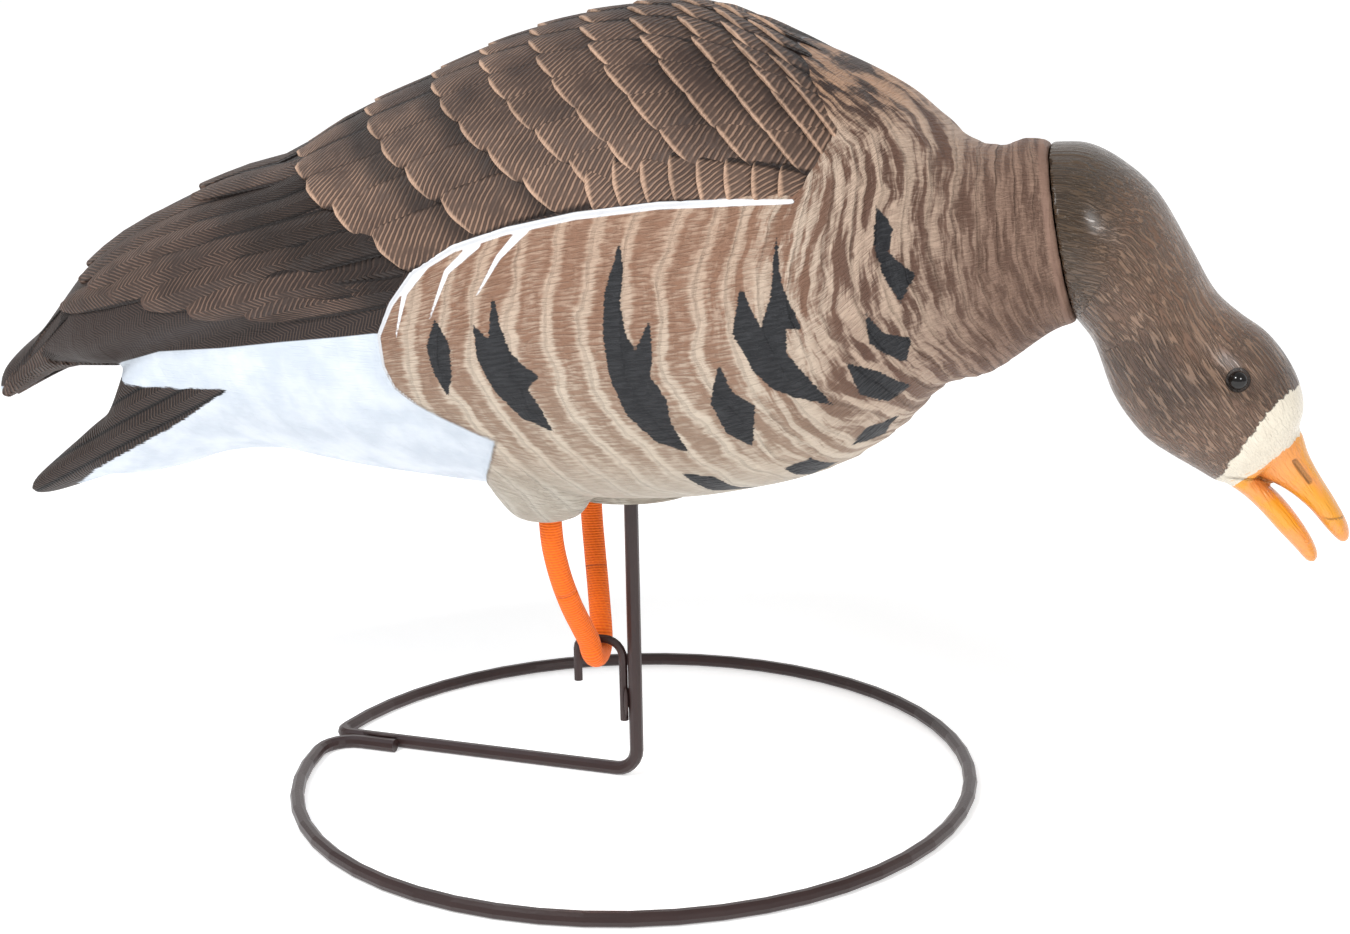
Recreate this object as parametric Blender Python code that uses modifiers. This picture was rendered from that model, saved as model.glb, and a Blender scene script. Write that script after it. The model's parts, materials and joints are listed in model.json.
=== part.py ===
"""White-fronted goose feeder decoy: a hollow moulded body that rocks and swivels on a bent-rod stand.

Metres, +Z up, +X towards the bill, +Y to the bird's left. The origin is on the ground below the middle
of the whole length. The stake post stands at x = POST_X.
"""

import math

import bmesh
import bpy
import numpy as np
from mathutils import Matrix, Vector

# Body shell. Its outline below is in per cent of these three, from the stake post and the belly.
BODY_LENGTH = 0.480
BODY_HEIGHT = 0.2085
BODY_WIDTH = 0.190
STAND_HEIGHT = 0.1335
WALL = 0.003
POST_X = 0.0075

# Neck collar, a round socket that the head plugs into.
COLLAR_DIAMETER = 0.0742
COLLAR_REACH = 0.3849 * BODY_LENGTH
COLLAR_HEIGHT = STAND_HEIGHT + 0.566 * BODY_HEIGHT
COLLAR_TILT = math.radians(10.5)
COLLAR_BORE_DEPTH = 0.026
COLLAR_STEP = 0.0012
SPIGOT_LENGTH = 0.022
SPIGOT_CLEARANCE = 0.0004

# Head. Its outline is in per cent of these three, from the collar's centre.
HEAD_REACH = 0.115
HEAD_DROP = 0.132
HEAD_WIDTH = 0.072
EYE_DIAMETER = 0.0076
EYE_REACH = 0.0695
EYE_DROP = 0.0545
EYE_SPREAD = 0.0236

# Stand: one bent rod, with a wire hook for the leg cord.
ROD_DIAMETER = 0.00635
RING_RADIUS = 0.1524
RING_BACK = 0.0025
RING_SIDE = 0.0034
SPOKE_YAW = math.radians(-4.2)
RING_LAP = 0.032
LAP_BEND = 0.014
SPOKE_BEND = 0.007
POST_BEND = 0.010
ROD_SIDES = 10
HOOK_DIAMETER = 0.004
HOOK_BAR_HEIGHT = 0.065
HOOK_WIDTH = 0.0215
HOOK_FREE_END = 0.0445
HOOK_WELDED_END = 0.027
HOOK_BEND = 0.0055
HOOK_SHOULDER = 0.0085
WELD_RADIUS = 0.0011
HOOK_WELD_LENGTH = 0.013
RING_WELD_LENGTH = 0.019

# Pivot: a cone inside the body that sits on a cap on the top of the post.
POST_INSIDE = 0.148
ROCK_LIMIT = math.radians(5)
POST_CLEARANCE = 0.002
CAP_RADIUS = 0.0052
CAP_LENGTH = 0.014
CONE_WALL = 0.002
FLANGE_RIM = 0.0065
FLANGE_THICKNESS = 0.0025
BOSS_HEIGHT = 0.0085
BOSS_RIM = 0.0015
SEAT_LIP = 0.001
SCREW_RADIUS = 0.0015
SCREW_HEAD_RADIUS = 0.0031
SCREW_HEAD_HEIGHT = 0.002
SCREW_HEAD_FLOOR = 0.0045
SCREW_LENGTH = 0.0105

# Legs: one elastic cord, down from one thigh, under the hook and up into the other.
CORD_DIAMETER = 0.010
CORD_BACK = 0.028
CORD_SPREAD = 0.028
THIGH_DROP = 0.0035
THIGH_RADIUS = 0.0125
THIGH_PAD_HEIGHT = 0.0115
WASHER_RADIUS = 0.0085
WASHER_THICKNESS = 0.002
KNOT_RADIUS = 0.0095
KNOT_HEIGHT = 0.013

GAP = 0.0003

BELLY_Z = STAND_HEIGHT
BODY_HALF_WIDTH = BODY_WIDTH / 2
COLLAR_RADIUS = COLLAR_DIAMETER / 2
COLLAR_CENTRE = Vector((POST_X + COLLAR_REACH, 0, COLLAR_HEIGHT))
COLLAR_AXIS = Vector((math.cos(COLLAR_TILT), 0, math.sin(COLLAR_TILT)))
COLLAR_UP = Vector((-math.sin(COLLAR_TILT), 0, math.cos(COLLAR_TILT)))
COLLAR_BORE_RADIUS = COLLAR_RADIUS - WALL
SPIGOT_RADIUS = COLLAR_BORE_RADIUS - SPIGOT_CLEARANCE
NECK_RADIUS = COLLAR_RADIUS - COLLAR_STEP
ROD_RADIUS = ROD_DIAMETER / 2
ROD_REST = ROD_RADIUS * math.cos(math.pi / ROD_SIDES)
PIVOT_Z = BELLY_Z + POST_INSIDE
BELLY_HOLE_RADIUS = ROD_RADIUS + POST_INSIDE * math.tan(ROCK_LIMIT) + POST_CLEARANCE
BOSS_TOP = BELLY_Z + BOSS_HEIGHT
FLANGE_RADIUS = BELLY_HOLE_RADIUS + CONE_WALL + FLANGE_RIM
SCREW_CIRCLE = BELLY_HOLE_RADIUS + CONE_WALL + FLANGE_RIM / 2
HOOK_RADIUS = HOOK_DIAMETER / 2
HOOK_LEG_X = POST_X - ROD_RADIUS - HOOK_RADIUS - GAP
CORD_RADIUS = CORD_DIAMETER / 2
CORD_HOLE_RADIUS = CORD_RADIUS + 0.0004
CORD_X = POST_X - CORD_BACK
THIGH_BOTTOM = BELLY_Z - THIGH_DROP
THIGH_PAD_TOP = BELLY_Z + THIGH_PAD_HEIGHT

# Body outline, tail to collar. Each row: back line x, z, belly line x, z (per cent of length and height),
# half width (per cent), and how far up the section its widest level lies.
BODY_ROWS = [
    (-61.9, -4.3, -61.4, -6.2, 12.5, 0.50),
    (-60.7, -0.7, -59.9, -5.8, 23.0, 0.50),
    (-57.7, 4.8, -56.5, -3.4, 30.0, 0.50),
    (-53.9, 11.5, -52.7, -0.7, 36.5, 0.50),
    (-49.8, 19.9, -48.8, 0.2, 44.0, 0.48),
    (-45.8, 39.6, -45.0, 2.2, 52.6, 0.45),
    (-41.6, 60.0, -40.0, 5.8, 61.1, 0.46),
    (-34.8, 68.6, -33.7, 7.4, 70.5, 0.48),
    (-29.4, 72.5, -28.9, 6.0, 77.9, 0.50),
    (-23.9, 80.1, -23.7, 4.3, 85.3, 0.52),
    (-17.5, 86.6, -17.1, 3.0, 92.6, 0.54),
    (-8.7, 94.8, -9.2, 1.5, 97.9, 0.56),
    (-0.4, 99.5, -0.4, 0.0, 100.0, 0.57),
    (7.3, 100.5, 6.7, 1.1, 98.9, 0.57),
    (14.2, 95.5, 12.1, 3.5, 95.8, 0.57),
    (20.2, 90.2, 16.7, 6.3, 90.5, 0.56),
    (25.0, 84.4, 21.3, 10.9, 82.1, 0.55),
    (28.3, 78.4, 25.4, 17.8, 70.5, 0.53),
    (30.8, 73.9, 29.0, 26.3, 58.9, 0.52),
    (33.6, 72.9, 32.9, 29.0, 48.9, 0.50),
]

# Folded wings, from their crossed tips to where they sink into the back. The rows are as the body's.
WING_ROWS = [
    (-65.8, 17.7, -65.3, 15.6, 5.3, 0.40),
    (-64.6, 23.0, -63.1, 18.2, 11.6, 0.40),
    (-62.1, 28.0, -60.0, 21.6, 18.9, 0.38),
    (-58.3, 34.1, -56.6, 24.7, 30.5, 0.35),
    (-55.0, 41.8, -52.5, 25.2, 43.2, 0.32),
    (-51.6, 49.7, -47.9, 25.7, 55.8, 0.30),
    (-47.3, 56.8, -43.1, 27.6, 66.3, 0.30),
    (-42.1, 62.6, -38.3, 29.9, 75.8, 0.30),
    (-34.8, 69.1, -32.7, 32.4, 84.2, 0.30),
    (-27.5, 73.6, -25.8, 34.8, 90.5, 0.32),
    (-20.2, 79.8, -18.7, 36.7, 92.6, 0.35),
    (-12.9, 79.8, -11.9, 41.4, 84.2, 0.40),
]

# Head outline, neck to face: top line x, z, under line x, z and half width, in per cent.
HEAD_ROWS = [
    (7.2, 26.4, 11.5, -33.0, 100.6),
    (19.3, 21.2, 14.6, -39.8, 95.8),
    (31.5, 11.7, 16.3, -44.3, 88.9),
    (42.8, -4.2, 18.9, -49.6, 81.9),
    (51.5, -17.0, 23.7, -56.1, 76.4),
    (60.2, -23.9, 30.7, -62.9, 72.2),
    (68.9, -29.2, 39.3, -67.8, 69.4),
    (76.3, -36.7, 48.0, -72.0, 65.3),
    (81.1, -44.7, 55.0, -75.4, 58.3),
    (82.8, -51.9, 59.8, -76.1, 48.6),
    (81.5, -58.7, 63.7, -76.9, 37.5),
]

UPPER_BILL_ROWS = [
    (74.1, -49.6, 56.7, -67.0, 41.7),
    (82.0, -58.7, 65.4, -71.2, 36.1),
    (85.4, -66.3, 70.7, -73.9, 31.9),
    (89.8, -73.1, 78.5, -77.3, 27.2),
    (94.6, -79.5, 86.3, -82.6, 23.9),
    (98.9, -86.0, 92.4, -88.6, 21.1),
    (100.4, -90.2, 95.9, -91.7, 16.1),
    (99.8, -92.4, 98.0, -93.0, 6.9),
]

LOWER_BILL_ROWS = [
    (58.5, -64.8, 48.9, -71.6, 40.3),
    (63.7, -70.8, 56.7, -75.0, 34.7),
    (70.7, -75.0, 64.1, -79.2, 30.0),
    (77.2, -79.9, 70.7, -84.5, 25.6),
    (82.8, -85.6, 76.7, -90.2, 22.2),
    (87.6, -91.7, 82.4, -95.2, 19.4),
    (90.2, -96.6, 86.3, -98.9, 15.0),
    (90.0, -99.0, 88.7, -99.8, 6.7),
]

# The leg cord's route on one side, from its end inside the thigh to the low point of its loop,
# as offsets from the hole in the thigh (x), from the mid-plane (y) and from the ground (z).
CORD_ROUTE = [
    (0.0000, 0.0280, THIGH_PAD_TOP + WASHER_THICKNESS + GAP),
    (0.0000, 0.0280, 0.1360),
    (0.0000, 0.0279, 0.1260),
    (0.0006, 0.0268, 0.1140),
    (0.0025, 0.0238, 0.1000),
    (0.0052, 0.0188, 0.0860),
    (0.0080, 0.0128, 0.0740),
    (0.0096, 0.0092, 0.0670),
    (0.0102, 0.0073, 0.0614),
    (0.0105, 0.0040, 0.0580),
    (0.0106, 0.0000, 0.0569),
]


def fresh_collection(name):
    collection = bpy.data.collections.new(name)
    bpy.context.scene.collection.children.link(collection)
    return collection


def clear_scene():
    for obj in list(bpy.data.objects):
        bpy.data.objects.remove(obj, do_unlink=True)


def material(name, colour, roughness, metallic=0.0):
    finish = bpy.data.materials.new(name)
    finish.use_nodes = True
    shader = finish.node_tree.nodes["Principled BSDF"]
    shader.inputs["Base Color"].default_value = (*colour, 1)
    shader.inputs["Roughness"].default_value = roughness
    shader.inputs["Metallic"].default_value = metallic
    return finish


def add_object(name, data, collection, finish=None):
    obj = bpy.data.objects.new(name, data)
    collection.objects.link(obj)
    if finish:
        data.materials.append(finish)
    return obj


def mesh_from(bm, name, smooth=True):
    bmesh.ops.recalc_face_normals(bm, faces=bm.faces)
    mesh = bpy.data.meshes.new(name)
    bm.to_mesh(mesh)
    bm.free()
    if smooth:
        mesh.shade_smooth()
        mesh.set_sharp_from_angle(angle=math.radians(35))
    return mesh


def add_cutter(name, mesh):
    cutter = add_object(name, mesh, CUTTERS)
    cutter.hide_render = True
    cutter.display_type = "WIRE"
    return cutter


def boolean(target, tool, operation):
    modifier = target.modifiers.new(tool.name, "BOOLEAN")
    modifier.object = tool
    modifier.operation = operation


def smooth_rows(rows, steps):
    """Catmull-Rom rows between the given ones, with `steps` to each span."""
    rows = np.array(rows, float)
    ends = np.vstack([2 * rows[0] - rows[1], rows, 2 * rows[-1] - rows[-2]])
    result = []
    for i in range(len(rows) - 1):
        a, b, c, d = ends[i : i + 4]
        for t in np.arange(steps) / steps:
            bend = (2 * a - 5 * b + 4 * c - d) * t**2 + (3 * b - a - 3 * c + d) * t**3
            result.append(0.5 * (2 * b + (c - a) * t + bend))
    result.append(rows[-1])
    return result


def section(row, around, inset=0.0):
    """Points of one upright oval section: (top x, z, bottom x, z, half width, widest level), in metres."""
    top = Vector((row[0], 0, row[1]))
    bottom = Vector((row[2], 0, row[3]))
    upward = (top - bottom).normalized()
    top -= upward * inset
    bottom += upward * inset
    half_width = row[4] - inset
    middle = bottom.lerp(top, row[5])
    points = []
    for i in range(around):
        angle = math.tau * i / around
        reach = (top - middle).length if math.sin(angle) > 0 else (middle - bottom).length
        sideways = Vector((0, half_width * math.cos(angle), 0))
        points.append(middle + upward * reach * math.sin(angle) + sideways)
    return points


def skin_rings(bm, rings):
    """Faces between rings of vertices, with a cap on each end."""
    for ring, following in zip(rings, rings[1:]):
        for i in range(len(ring)):
            j = (i + 1) % len(ring)
            bm.faces.new((ring[i], ring[j], following[j], following[i]))
    bm.faces.new(rings[0])
    bm.faces.new(rings[-1])


def loft(name, rows, around, inset=0.0):
    """A closed skin through upright oval sections."""
    bm = bmesh.new()
    rings = [[bm.verts.new(point) for point in section(row, around, inset)] for row in rows]
    skin_rings(bm, rings)
    bmesh.ops.triangulate(bm, faces=[face for face in bm.faces if len(face.verts) > 4])
    return mesh_from(bm, name)


def cylinder(name, radius, length, middle, axis=Vector((0, 0, 1)), segments=32):
    bm = bmesh.new()
    bmesh.ops.create_cone(
        bm, cap_ends=True, segments=segments, radius1=radius, radius2=radius, depth=length
    )
    turn = axis.to_track_quat("Z", "Y").to_matrix().to_4x4()
    bmesh.ops.transform(bm, matrix=Matrix.Translation(middle) @ turn, verts=bm.verts)
    return mesh_from(bm, name)


def stepped_pin(name, x, y, levels, segments=12):
    """A stepped round pin on a vertical axis, from its (height, radius) levels."""
    bm = bmesh.new()
    rings = []
    angles = [math.tau * (i + 0.5) / segments for i in range(segments)]
    for height, radius in levels:
        ring = [(x + radius * math.cos(a), y + radius * math.sin(a), height) for a in angles]
        rings.append([bm.verts.new(point) for point in ring])
    skin_rings(bm, rings)
    return mesh_from(bm, name)


def oval(name, centre, half_sizes, segments=16, rings=10):
    bm = bmesh.new()
    bmesh.ops.create_uvsphere(bm, u_segments=segments, v_segments=rings, radius=1)
    bmesh.ops.scale(bm, vec=half_sizes, verts=bm.verts)
    bmesh.ops.translate(bm, vec=centre, verts=bm.verts)
    return mesh_from(bm, name)


def turned(name, profile, place, finish, steps=24, closed=False):
    """A solid turned about a vertical axis through `place`: radius and height, down the outside.
    A closed profile makes a ring."""
    mesh = bpy.data.meshes.new(name)
    count = len(profile)
    edges = [(i, (i + 1) % count) for i in range(count if closed else count - 1)]
    mesh.from_pydata([(radius, 0, height) for radius, height in profile], edges, [])
    obj = add_object(name, mesh, PARTS, finish)
    obj.location = place
    screw = obj.modifiers.new("Turn", "SCREW")
    screw.steps = steps
    screw.render_steps = steps
    screw.use_merge_vertices = True
    screw.merge_threshold = 0.00001
    screw.use_smooth_shade = True
    return obj


def dome(radius, count=6):
    """Profile points of a quarter circle, from the axis out."""
    angles = [math.pi / 2 * i / count for i in range(count + 1)]
    return [(radius * math.sin(a), radius * math.cos(a)) for a in angles]


def wire(name, points, radius, collection, finish, resolution):
    """A round bar along the points, with closed ends."""
    curve = bpy.data.curves.new(name, "CURVE")
    curve.dimensions = "3D"
    curve.bevel_depth = radius
    curve.bevel_resolution = resolution
    curve.use_fill_caps = True
    spline = curve.splines.new("POLY")
    spline.points.add(len(points) - 1)
    for point, place in zip(spline.points, points):
        point.co = (*place, 1)
        point.radius = 1
    spline.use_smooth = True
    return add_object(name, curve, collection, finish)


def arc(centre, start, turn, steps):
    """Points of an arc about `centre` from the vector `start`, turned by the rotation `turn` in all."""
    axis, angle = turn
    return [
        Vector(centre) + Matrix.Rotation(angle * i / steps, 3, axis) @ Vector(start) for i in range(steps + 1)
    ]


def body_rows(rows):
    """Outline rows in metres."""
    result = []
    for top_x, top_z, low_x, low_z, width, waist in rows:
        result.append(
            (
                POST_X + BODY_LENGTH * top_x / 100,
                BELLY_Z + BODY_HEIGHT * top_z / 100,
                POST_X + BODY_LENGTH * low_x / 100,
                BELLY_Z + BODY_HEIGHT * low_z / 100,
                BODY_HALF_WIDTH * width / 100,
                waist,
            )
        )
    return result


def collar_row(radius, offset):
    """A round section about the collar's axis, `offset` along it from the rim."""
    centre = COLLAR_CENTRE + COLLAR_AXIS * offset
    top = centre + COLLAR_UP * radius
    bottom = centre - COLLAR_UP * radius
    return (top.x, top.z, bottom.x, bottom.z, radius, 0.5)


def head_rows(rows):
    result = []
    for top_x, top_z, low_x, low_z, width in rows:
        result.append(
            (
                COLLAR_CENTRE.x + HEAD_REACH * top_x / 100,
                COLLAR_CENTRE.z + HEAD_DROP * top_z / 100,
                COLLAR_CENTRE.x + HEAD_REACH * low_x / 100,
                COLLAR_CENTRE.z + HEAD_DROP * low_z / 100,
                HEAD_WIDTH / 2 * width / 100,
                0.5,
            )
        )
    return result


def screw_places():
    """Where the four cone screws stand, round the post."""
    for i in range(4):
        angle = math.radians(45 + 90 * i)
        yield POST_X + SCREW_CIRCLE * math.cos(angle), SCREW_CIRCLE * math.sin(angle)


def thigh_mesh(name, side):
    """A rounded stub that swells into the belly, with a flat underside."""
    bm = bmesh.new()
    levels = [
        (THIGH_BOTTOM, 0.88),
        (THIGH_BOTTOM + 0.0018, 1.12),
        (THIGH_BOTTOM + 0.007, 1.36),
        (THIGH_BOTTOM + 0.016, 1.66),
        (THIGH_BOTTOM + 0.028, 1.84),
        (THIGH_BOTTOM + 0.042, 1.60),
    ]
    rings = []
    for height, share in levels:
        lean = (height - THIGH_BOTTOM) * 0.12
        radius = THIGH_RADIUS * share
        ring = []
        for i in range(20):
            angle = math.tau * i / 20
            x = CORD_X - lean + 1.1 * radius * math.cos(angle)
            y = side * (CORD_SPREAD + lean) + 0.95 * radius * math.sin(angle)
            ring.append(bm.verts.new((x, y, height)))
        rings.append(ring)
    skin_rings(bm, rings)
    return mesh_from(bm, name)


def make_body():
    """The hollow moulded body: back, breast, belly, tail fan, folded wings and neck collar."""
    outline = body_rows(BODY_ROWS) + [collar_row(COLLAR_RADIUS * 1.06, -0.011), collar_row(COLLAR_RADIUS, 0)]
    body = add_object("body_shell", loft("body_shell", smooth_rows(outline, 2), 32), PARTS)
    body.data.materials.append(material("moulded_plastic", (0.30, 0.235, 0.19), 0.6))
    wings = add_cutter("wing_skin", loft("wing_skin", smooth_rows(body_rows(WING_ROWS), 1), 24))
    boolean(body, wings, "UNION")
    for side, name in ((1, "left"), (-1, "right")):
        boolean(body, add_cutter(f"thigh_{name}", thigh_mesh(f"thigh_{name}", side)), "UNION")

    hollow_rows = body_rows(BODY_ROWS[2:]) + [collar_row(COLLAR_RADIUS, -0.020)]
    hollow = add_cutter("body_hollow", loft("body_hollow", hollow_rows, 24, WALL))
    boolean(body, hollow, "DIFFERENCE")
    wing_hollow = add_cutter("wing_hollow", loft("wing_hollow", body_rows(WING_ROWS[3:]), 18, WALL))
    boolean(body, wing_hollow, "DIFFERENCE")

    bore_middle = COLLAR_CENTRE + COLLAR_AXIS * (0.005 - COLLAR_BORE_DEPTH) / 2
    bore = cylinder(
        "collar_bore", COLLAR_BORE_RADIUS, COLLAR_BORE_DEPTH + 0.005, bore_middle, COLLAR_AXIS, segments=36
    )
    boolean(body, add_cutter("collar_bore", bore), "DIFFERENCE")
    add_boss_and_holes(body)
    return body


def add_boss_and_holes(body):
    """The flat boss under the cone, the cord pads, the belly hole and the holes for screws and cord."""
    boss_low = BELLY_Z + WALL * 0.75
    add_pad(body, "cone_boss", (POST_X, 0), FLANGE_RADIUS, boss_low, BOSS_TOP)
    sides = ((1, "left"), (-1, "right"))
    for side, name in sides:
        place = (CORD_X, side * CORD_SPREAD)
        add_pad(body, f"cord_pad_{name}", place, WASHER_RADIUS, THIGH_BOTTOM + 0.006, THIGH_PAD_TOP)
    add_seat(body, "flange_seat", (POST_X, 0), FLANGE_RADIUS, BOSS_TOP)
    hole = cylinder("belly_hole", BELLY_HOLE_RADIUS, 0.04, Vector((POST_X, 0, BELLY_Z)))
    boolean(body, add_cutter("belly_hole", hole), "DIFFERENCE")
    for side, name in sides:
        x, y = CORD_X, side * CORD_SPREAD
        add_seat(body, f"washer_seat_{name}", (x, y), WASHER_RADIUS, THIGH_PAD_TOP)
        hole = cylinder(f"cord_hole_{name}", CORD_HOLE_RADIUS, 0.06, Vector((x, y, BELLY_Z)), segments=20)
        boolean(body, add_cutter(f"cord_hole_{name}", hole), "DIFFERENCE")
    floor = BELLY_Z + SCREW_HEAD_FLOOR
    levels = [
        (BELLY_Z - 0.02, SCREW_HEAD_RADIUS + 2 * GAP),
        (floor, SCREW_HEAD_RADIUS + 2 * GAP),
        (floor, SCREW_RADIUS + GAP),
        (BOSS_TOP + 0.02, SCREW_RADIUS + GAP),
    ]
    for i, (x, y) in enumerate(screw_places(), 1):
        name = f"screw_hole_{i}"
        boolean(body, add_cutter(name, stepped_pin(name, x, y, levels)), "DIFFERENCE")


def add_pad(body, name, place, seat_radius, low, seat_height):
    """A round pad whose lip will surround a seat of the given radius."""
    high = seat_height + SEAT_LIP
    middle = Vector((*place, (high + low) / 2))
    pad = cylinder(name, seat_radius + GAP + BOSS_RIM, high - low, middle, segments=28)
    boolean(body, add_cutter(name, pad), "UNION")


def add_seat(body, name, place, seat_radius, height):
    """A flat seat at this height, cut clear above."""
    seat = cylinder(name, seat_radius + GAP, 0.02, Vector((*place, height + 0.01)), segments=24)
    boolean(body, add_cutter(name, seat), "DIFFERENCE")


def make_head():
    """Neck, head and open bill in one hollow moulding, with a spigot that turns in the collar."""
    outline = [collar_row(NECK_RADIUS, GAP)] + head_rows(HEAD_ROWS)
    head = add_object("head_shell", loft("head_shell", smooth_rows(outline, 2), 24), PARTS)
    head.data.materials.append(material("head_plastic", (0.17, 0.13, 0.10), 0.4))
    for name, rows in (("upper_bill", UPPER_BILL_ROWS), ("lower_bill", LOWER_BILL_ROWS)):
        bill = add_cutter(name, loft(name, smooth_rows(head_rows(rows), 1), 14))
        boolean(head, bill, "UNION")
    spigot_middle = COLLAR_CENTRE + COLLAR_AXIS * (0.004 - SPIGOT_LENGTH) / 2
    spigot = cylinder(
        "spigot", SPIGOT_RADIUS, SPIGOT_LENGTH + 0.004, spigot_middle, COLLAR_AXIS, segments=36
    )
    boolean(head, add_cutter("spigot", spigot), "UNION")
    hollow_rows = [collar_row(NECK_RADIUS, 0.003)] + head_rows(HEAD_ROWS[:9])
    hollow = add_cutter("head_hollow", loft("head_hollow", hollow_rows, 16, WALL * 1.3))
    boolean(head, hollow, "DIFFERENCE")
    bore_middle = COLLAR_CENTRE + COLLAR_AXIS * (0.008 - SPIGOT_LENGTH) / 2
    bore = cylinder(
        "spigot_bore", SPIGOT_RADIUS - WALL, SPIGOT_LENGTH + 0.012, bore_middle, COLLAR_AXIS, segments=28
    )
    boolean(head, add_cutter("spigot_bore", bore), "DIFFERENCE")
    return head


def make_eyes(head):
    """Glossy eyes, each set in a round socket."""
    finish = material("eye_glass", (0.01, 0.008, 0.006), 0.08)
    eyes = []
    for side, name in ((1, "left"), (-1, "right")):
        centre = Vector((COLLAR_CENTRE.x + EYE_REACH, side * EYE_SPREAD, COLLAR_CENTRE.z - EYE_DROP))
        radius = EYE_DIAMETER / 2
        socket = oval(f"eye_socket_{name}", centre, (radius + GAP,) * 3, 14, 8)
        boolean(head, add_cutter(f"eye_socket_{name}", socket), "DIFFERENCE")
        eye = oval(f"eye_{name}", centre, (radius,) * 3, 14, 8)
        eyes.append(add_object(f"eye_{name}", eye, PARTS, finish))
    return eyes


def make_cone():
    """The pivot cone: a flanged funnel with a round seat at its top, hollow to the belly."""
    seat = CAP_RADIUS + GAP
    flange_low = BOSS_TOP + GAP - PIVOT_Z
    mouth = BELLY_HOLE_RADIUS
    profile = dome(seat + CONE_WALL)
    profile += [
        (mouth + CONE_WALL, flange_low + FLANGE_THICKNESS),
        (FLANGE_RADIUS, flange_low + FLANGE_THICKNESS),
        (FLANGE_RADIUS, flange_low),
        (mouth, flange_low),
        (seat + 0.0008, -0.002),
    ]
    profile += dome(seat)[::-1]
    finish = material("cone_nylon", (0.03, 0.03, 0.03), 0.5)
    cone = turned("motion_cone", profile, (POST_X, 0, PIVOT_Z), finish)
    for i, (x, y) in enumerate(screw_places(), 1):
        place = Vector((x, y, BOSS_TOP))
        hole = cylinder(f"flange_hole_{i}", SCREW_RADIUS + GAP, 0.02, place, segments=10)
        boolean(cone, add_cutter(f"flange_hole_{i}", hole), "DIFFERENCE")
    return cone


def make_screws():
    """Pan-head screws, driven up through the belly boss and the flange."""
    finish = material("screw_steel", (0.45, 0.45, 0.44), 0.35, 1.0)
    seat = BELLY_Z + SCREW_HEAD_FLOOR - GAP
    profile = [
        (0, SCREW_LENGTH),
        (SCREW_RADIUS * 0.6, SCREW_LENGTH),
        (SCREW_RADIUS, SCREW_LENGTH - 0.001),
        (SCREW_RADIUS, 0),
        (SCREW_HEAD_RADIUS, 0),
        (SCREW_HEAD_RADIUS, -SCREW_HEAD_HEIGHT * 0.5),
        (SCREW_HEAD_RADIUS * 0.7, -SCREW_HEAD_HEIGHT),
        (0, -SCREW_HEAD_HEIGHT),
    ]
    return [
        turned(f"cone_screw_{i}", profile, (x, y, seat), finish, 12)
        for i, (x, y) in enumerate(screw_places(), 1)
    ]


def make_tip_cap():
    """The round-nosed cap that turns on the top of the post."""
    bore = ROD_RADIUS + GAP
    profile = dome(CAP_RADIUS) + [(CAP_RADIUS, -CAP_LENGTH), (bore, -CAP_LENGTH), (bore, 0), (0, 0)]
    finish = material("cap_nylon", (0.7, 0.7, 0.66), 0.4)
    return turned("stake_tip_cap", profile, (POST_X, 0, PIVOT_Z), finish)


def make_base_rod():
    """Free end, ring, spoke and post, bent from one rod. The spoke runs back from the post at (0, 0)."""
    z = ROD_REST
    ring_centre = Vector((-RING_BACK, RING_SIDE, z))
    lap_y = -(ROD_DIAMETER + GAP)
    lap_centre = bend_centre(ring_centre, lap_y - LAP_BEND, LAP_BEND)
    spoke_centre = bend_centre(ring_centre, SPOKE_BEND, SPOKE_BEND)
    lap_out = (lap_centre - ring_centre).normalized()
    spoke_out = (spoke_centre - ring_centre).normalized()
    lap_turn = Vector((0, 1, 0)).angle(lap_out)
    ring_turn = math.tau - lap_out.angle(spoke_out)
    spoke_turn = spoke_out.angle(Vector((0, -1, 0)))
    points = [Vector((lap_centre.x + RING_LAP - LAP_BEND, lap_y, z))]
    points += arc(lap_centre, (0, LAP_BEND, 0), ("Z", lap_turn), 6)
    points += arc(ring_centre, lap_out * RING_RADIUS, ("Z", ring_turn), 52)[1:-1]
    points += arc(spoke_centre, spoke_out * SPOKE_BEND, ("Z", spoke_turn), 8)
    points += [Vector((spoke_centre.x * share, 0, z)) for share in (0.75, 0.5, 0.25)]
    points += arc((-POST_BEND, 0, z + POST_BEND), (0, 0, -POST_BEND), ("Y", -math.pi / 2), 6)
    top = PIVOT_Z - GAP
    points += [Vector((0, 0, z + POST_BEND + (top - z - POST_BEND) * share)) for share in (0.5, 1)]
    stand = Matrix.Translation((POST_X, 0, 0)) @ Matrix.Rotation(SPOKE_YAW, 4, "Z")
    finish = material("powder_coat", (0.06, 0.038, 0.035), 0.35, 0.2)
    return wire("base_rod", [stand @ p for p in points], ROD_RADIUS, PARTS, finish, (ROD_SIDES - 4) // 2)


def bend_centre(ring_centre, y, radius):
    """Centre of a bend of this radius inside the back of the ring, at this y."""
    back = math.sqrt((RING_RADIUS - radius) ** 2 - (y - ring_centre.y) ** 2)
    return Vector((ring_centre.x - back, y, ring_centre.z))


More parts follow.
